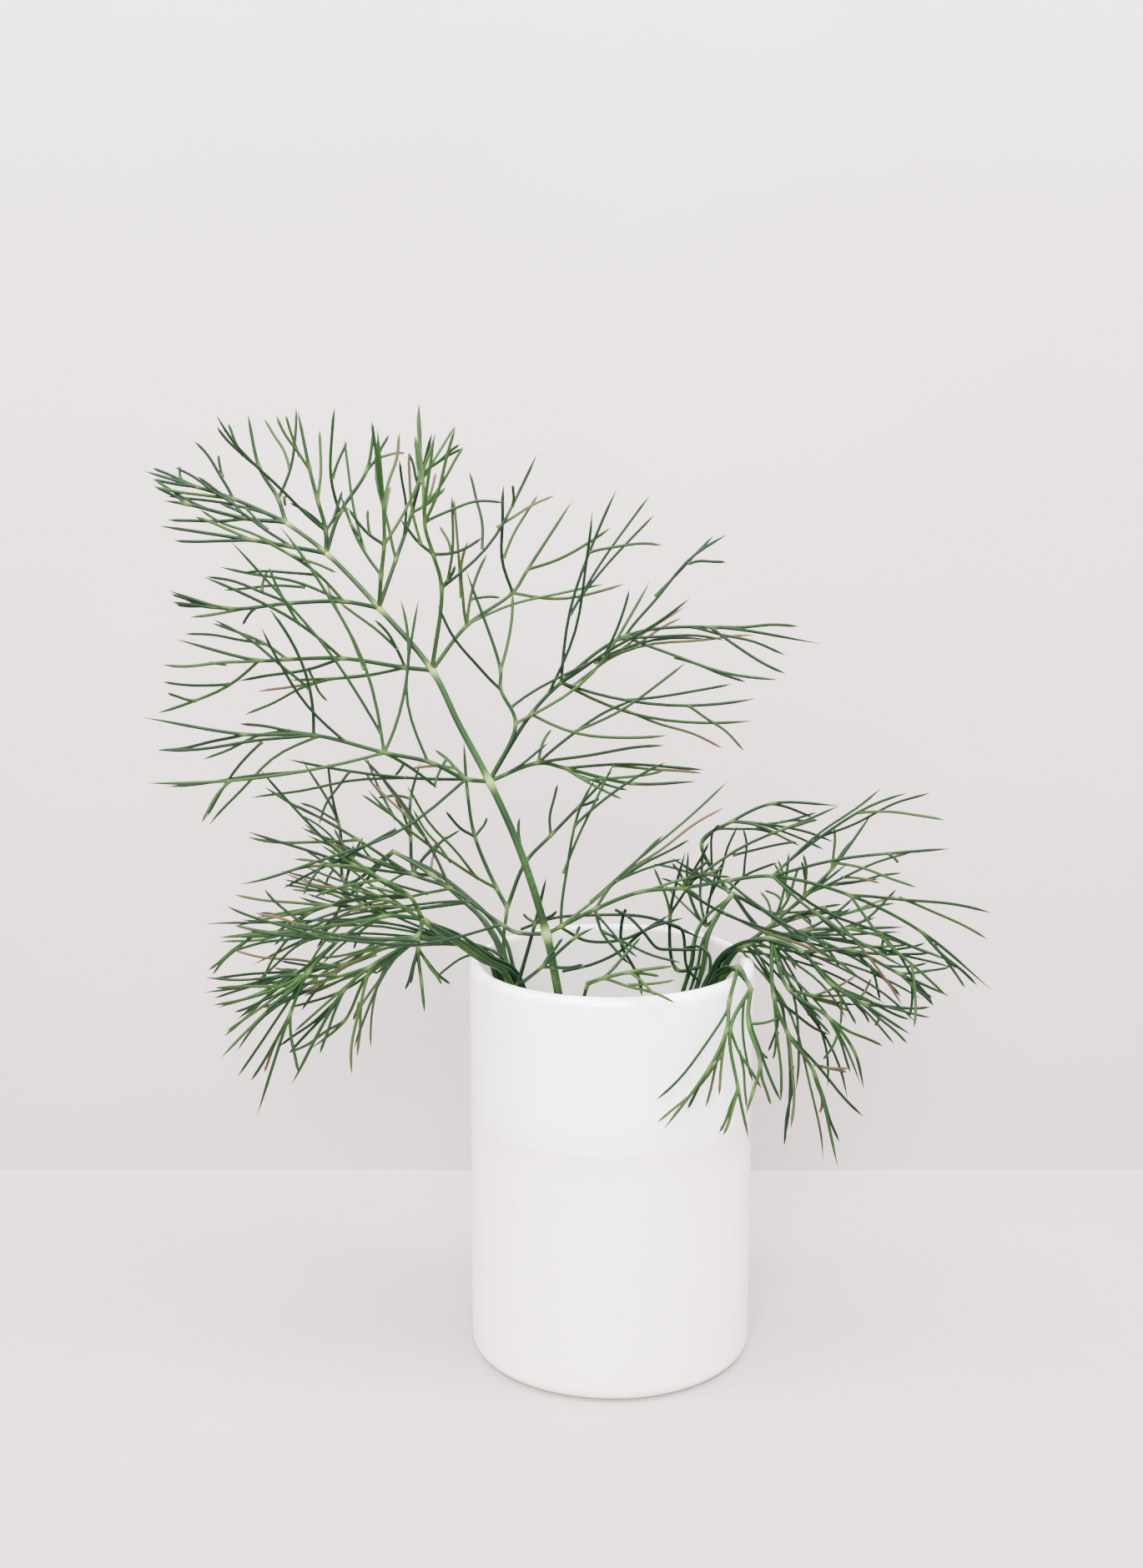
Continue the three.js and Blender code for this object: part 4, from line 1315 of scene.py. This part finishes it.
def evenSteps(points, spacing):
    # the same line, with its points about that far apart
    points = np.array(points)
    along = np.concatenate([[0], np.cumsum(np.linalg.norm(np.diff(points, axis=0), axis=1))])
    count = max(int(along[-1] / spacing), 4)
    places = np.linspace(0, along[-1], count + 1)
    return np.stack([np.interp(places, along, points[:, axis]) for axis in range(3)], axis=1)


def stemMaterial():
    s = stemSettings
    shading = Shading("fennelStem")
    uv = shading.add("ShaderNodeUVMap", uv_map="UVMap")
    place = shading.objectPlace()
    split = shading.add("ShaderNodeSeparateXYZ", {"Vector": uv.outputs["UV"]})
    ridge = shading.sums("MULTIPLY", split.outputs["X"], 2 * math.pi * s["ridges"])
    ridge = shading.reach(shading.sums("COSINE", ridge, 0), -1, 1)
    streak = shading.noise(place, 900, 2)
    cloud = shading.noise(place, 60, 3)
    stripes = shading.sums("MULTIPLY", ridge, shading.reach(streak, 0.3, 0.7, 0.25, 0.8))
    colour = shading.blend(shading.reach(cloud, 0.35, 0.65), s["middle"], s["shade"])
    colour = shading.blend(stripes, colour, s["stripe"])
    colour = shading.blend(shading.attribute("pale"), colour, s["joint"])
    normal = shading.bump(ridge, 0.4, 0.00006)
    normal = shading.bump(streak, 0.3, 0.00004, normal)
    roughness = shading.reach(streak, 0.2, 0.8, s["roughness"] - 0.06, s["roughness"] + 0.1)
    return shading.finish(colour, roughness, normal, s["specular"])


def makeStems():
    s = stemSettings
    material = stemMaterial()
    profile = stemProfile()
    for frond in fronds:
        points = evenSteps(smoothRoute(frond["route"], 16), s["spacing"])
        joints = [np.array(leaf["route"][0], float) for leaf in frond["leaves"]]
        palest = s["palest"][0 if frond["name"] == s["brightFrond"] else 1]
        first, last = frond["radii"]
        radii = []
        pale = []
        for k, point in enumerate(points):
            away = min(np.linalg.norm(point - joint) for joint in joints)
            swell = 1 + s["swelling"] * math.exp(-((away / s["swellingLength"]) ** 2))
            radii.append((first + (last - first) * k / (len(points) - 1)) * swell)
            pale.append(palest * math.exp(-((away / s["paleLength"]) ** 2)))
        radii[-1] *= s["tipShare"]
        strand = {"points": points, "radii": radii, "pale": pale}
        piece = addStrands(frond["name"] + "Stem", [strand], profile)
        paintStrands(piece, [strand], ["pale"])
        finishPiece(piece, frond["node"], material)
    bpy.data.objects.remove(profile)
    print("stems made:", len(fronds))


makeStems()


# Leaves: every axis and thread is a tapering round strand with a fine point.
leafSettings = {
    "axisRadii": (0.62, 0.42),
    "threadRadii": (0.46, 0.42),
    "forkRadii": (0.42, 0.38),
    "rootSwelling": 0.3,
    "rootLength": 0.8,
    "pointShare": 0.11,
    "pointPower": 0.7,
    "bluntest": 0.06,
    "axisSpacing": 1.5,
    "threadPlaces": (0, 0.03, 0.08, 0.16, 0.26, 0.36, 0.46, 0.56, 0.66, 0.75, 0.83, 0.89, 0.94, 0.98, 1),
    "waver": 0.012,
    "paleLength": 1.0,
    "axisPale": 0.5,
    "threadPale": 0.2,
    "axisAlong": 0.6,
    "shadeSpread": 0.4,
    "highestShade": 0.85,
    # how light each frond's leaves are painted: the front ones lighter, as painted light, and the back
    # ones deep, as painted shade
    "paintedLightShades": {
        "tall": (0.15, 0.62), "left": (0.3, 0.7), "low": (0.35, 0.75), "back_left": (0.1, 0.35),
        "middle": (0.1, 0.4), "short": (0.1, 0.4), "right": (0.15, 0.55), "front": (0.6, 0.82),
        "back_right": (0, 0.3), "sprig": (0.55, 0.75),
    },
    "deep": paint(3, 27, 6),
    "fresh": paint(15, 46, 8),
    "silver": paint(44, 62, 27),
    "brown": paint(82, 58, 44),
    "agedLean": 0.42,
    "joint": paint(84, 108, 54),
    "roughness": 0.6,
    "specular": 0.15,
}


def leafMaterial():
    s = leafSettings
    shading = Shading("fennelThreads")
    place = shading.objectPlace()
    uv = shading.add("ShaderNodeUVMap", uv_map="UVMap")
    split = shading.add("ShaderNodeSeparateXYZ", {"Vector": uv.outputs["UV"]})
    along = shading.attribute("along")
    shade = shading.attribute("shade")
    cloud = shading.noise(place, 90, 3)
    fine = shading.noise(place, 1400, 2)
    # the shade attribute carries each frond's painted light and shade, with a random spread, and moves
    # the colour from deep to fresh
    light = shading.reach(shading.sums("ADD", cloud, shade), 0.7, 1.25)
    colour = shading.blend(light, s["deep"], s["fresh"])
    glint = shading.reach(fine, 0.25, 0.7, 0.2, 0.8)
    silver = shading.sums("MULTIPLY", shading.reach(shade, 0.45, 0.8), glint)
    colour = shading.blend(silver, colour, s["silver"])
    towardsTip = shading.reach(along, 0.2, 0.9, 0, 0.85)
    aged = shading.sums("MULTIPLY", shading.reach(shade, 0.8, 0.95), towardsTip)
    colour = shading.blend(aged, colour, s["brown"])
    colour = shading.blend(shading.attribute("pale"), colour, s["joint"])
    ridge = shading.sums("COSINE", shading.sums("MULTIPLY", split.outputs["X"], 12 * math.pi), 0)
    normal = shading.bump(ridge, 0.3, 0.00003)
    normal = shading.bump(fine, 0.25, 0.00003, normal)
    roughness = shading.reach(fine, 0.2, 0.8, s["roughness"] - 0.08, s["roughness"] + 0.12)
    return shading.finish(colour, roughness, normal, s["specular"])


def pointed(share):
    # how much of a strand's radius is left, that far along
    left = min(1, (1 - share) / leafSettings["pointShare"])
    return max(left ** leafSettings["pointPower"], leafSettings["bluntest"])


def rooted(distance):
    # strands flare a little where they leave their joint
    s = leafSettings
    return 1 + s["rootSwelling"] * math.exp(-((distance / s["rootLength"]) ** 2))


def makeAxis(leaf):
    s = leafSettings
    points = evenSteps(smoothRoute(leaf["route"], 8), s["axisSpacing"])
    joints = [np.array(point, float) for point in leaf["route"][:-1]]
    first, last = s["axisRadii"]
    strand = {"points": points, "radii": [], "along": [], "pale": [], "shade": []}
    for k, point in enumerate(points):
        share = k / (len(points) - 1)
        away = min(np.linalg.norm(point - joint) for joint in joints)
        strand["radii"].append((first + (last - first) * share) * pointed(share) * rooted(away))
        strand["along"].append(share * s["axisAlong"])
        strand["pale"].append(s["axisPale"] * math.exp(-((away / s["paleLength"]) ** 2)))
        strand["shade"].append(leaf["shade"])
    return strand


def makeThread(thread, leafShade, chance):
    s = leafSettings
    root, end = thread["path"][0], thread["path"][-1]
    points = np.array(bowedThread(root, end, thread["tangent"], s["threadPlaces"], thread["bow"]))
    length = np.linalg.norm(end - root)
    # a slow sideways waver, so that no thread is a perfect arc
    side = np.cross(end - root, [chance.uniform(-0.4, 0.4), 1, chance.uniform(-0.4, 0.4)])
    side = side / np.linalg.norm(side) * length * s["waver"] * chance.uniform(-1, 1)
    turns = chance.uniform(1.4, 2.2) * math.pi
    first, last = s["forkRadii"] if len(thread["path"]) == 2 else s["threadRadii"]
    change = chance.uniform(-s["shadeSpread"], s["shadeSpread"])
    shade = min(max(leafShade + change, 0), s["highestShade"])
    # threads that reach far back are the oldest, and have turned brown
    if (end[1] - root[1]) / length > s["agedLean"]:
        shade = 1
    strand = {"points": [], "radii": [], "along": [], "pale": [], "shade": []}
    for share, point in zip(s["threadPlaces"], points):
        strand["points"].append(point + side * math.sin(turns * share) * math.sin(math.pi * share) * 2)
        away = share * length
        strand["radii"].append((first + (last - first) * share) * pointed(share) * rooted(away))
        strand["along"].append(share)
        strand["pale"].append(s["threadPale"] * math.exp(-((away / s["paleLength"]) ** 2)))
        strand["shade"].append(shade)
    return strand


def makeLeaves():
    material = leafMaterial()
    chance = random.Random(7)
    count = 0
    for frond in fronds:
        density = fineSettings["openShare"] if frond["name"] in fineSettings["openFronds"] else 1
        for leaf in frond["leaves"]:
            # each leaf's tone within its frond's range of painted light and shade
            leaf["shade"] = chance.uniform(*leafSettings["paintedLightShades"][frond["name"]])
            strands = [makeAxis(leaf)]
            fine = growFineThreads(leaf, density, chance) + growLongThreads(leaf, density, chance)
            if frond["name"] in fineSettings["fans"] and leaf is frond["leaves"][0]:
                fine += growFan(frond, chance)
            threads = leaf["threads"] + fine
            strands += [makeThread(thread, leaf["shade"], chance) for thread in threads]
            if frond["name"] in fineSettings["stalkFronds"]:
                strands.append(addStalk(frond, leaf, chance))
            if leaf["name"] == fineSettings["curlLeaf"]:
                for curl in fineSettings["curls"]:
                    points = evenSteps(smoothRoute(curl, 8), 1)
                    last = len(points) - 1
                    radii = [fineSettings["curlRadius"] * pointed(k / last) for k in range(last + 1)]
                    strands.append(plainStrand(points, radii, fineSettings["curlShade"]))
            count += len(strands)
            piece = addStrands(frond["name"] + "Leaf_" + leaf["name"], strands)
            paintStrands(piece, strands, ["along", "pale", "shade"])
            finishPiece(piece, leaf["node"], material)
    print("leaves made, with", count, "threads")


makeLeaves()


# Stage: a pale floor and a plain backdrop behind it, which only shows from its front.
stageSettings = {
    "halfWidth": 2.5,
    "front": -3,
    "back": 0.13,
    "curve": 0.0015,
    "height": 1.3,
    "near": paint(165, 154, 153),
    "far": paint(159, 148, 147),
}


def stageMaterial():
    s = stageSettings
    shading = Shading("paleStage")
    cloud = shading.noise(shading.objectPlace(), 6, 3)
    colour = shading.blend(shading.reach(cloud, 0.35, 0.65), s["near"], s["far"])
    normal = shading.bump(shading.noise(shading.objectPlace(), 700, 2), 0.05, 0.0001)
    shading.finish(colour, 0.6, normal)
    clear = shading.add("ShaderNodeBsdfTransparent")
    behind = shading.add("ShaderNodeNewGeometry").outputs["Backfacing"]
    either = shading.add("ShaderNodeMixShader", {0: behind})
    shading.tree.links.new(shading.shader.outputs[0], either.inputs[1])
    shading.tree.links.new(clear.outputs[0], either.inputs[2])
    shading.tree.links.new(either.outputs[0], shading.tree.nodes["Material Output"].inputs["Surface"])
    return shading.material


def makeStage():
    s = stageSettings
    deselectAll()
    bpy.ops.mesh.primitive_plane_add(size=1)
    stage = bpy.context.object
    stage.name = "paleStage"
    flatBack = s["back"] - s["curve"]
    for corner in stage.data.vertices:
        corner.co.x *= 2 * s["halfWidth"]
        corner.co.y = s["front"] if corner.co.y < 0 else flatBack
        corner.co.z = cadLow.z
    startEditing(stage)
    pickParts(stage, "EDGE", lambda edge: all(corner.co.y > flatBack - 1e-4 for corner in edge.verts))
    bpy.ops.mesh.spin(
        steps=4, angle=math.radians(-90), center=(0, flatBack, cadLow.z + s["curve"]), axis=(1, 0, 0),
    )
    curveTop = cadLow.z + s["curve"] - 1e-5
    pickParts(stage, "EDGE", lambda edge: all(corner.co.z > curveTop for corner in edge.verts))
    bpy.ops.mesh.extrude_region_move(TRANSFORM_OT_translate={"value": (0, 0, s["height"])})
    stopEditing()
    bpy.ops.object.shade_smooth()
    stage.data.materials.append(stageMaterial())


lightSettings = {
    "world": (1, 0.985, 0.985, 1),
    "worldStrength": 0.5,
    "softboxes": (
        # name, place, aim, width, depth, watts
        ("window", (-0.15, -1.7, 1.15), (0, 0, 0.12), 0.9, 0.9, 160),
        ("aboveWall", (0, -0.16, 0.75), (0, 0.13, 0.45), 1.6, 0.35, 52),
    ),
}


def addLights():
    s = lightSettings
    world = bpy.data.worlds.new("softRoom")
    bpy.context.scene.world = world
    world.use_nodes = True
    background = world.node_tree.nodes["Background"]
    background.inputs["Color"].default_value = s["world"]
    background.inputs["Strength"].default_value = s["worldStrength"]
    for name, place, aim, width, depth, watts in s["softboxes"]:
        bpy.ops.object.light_add(type="AREA", location=place)
        light = bpy.context.object
        light.name = name
        light.rotation_euler = (Vector(aim) - Vector(place)).to_track_quat("-Z", "Y").to_euler()
        light.data.shape = "RECTANGLE"
        light.data.size = width
        light.data.size_y = depth
        light.data.energy = watts


makeStage()
addLights()
print("stage and lights set")
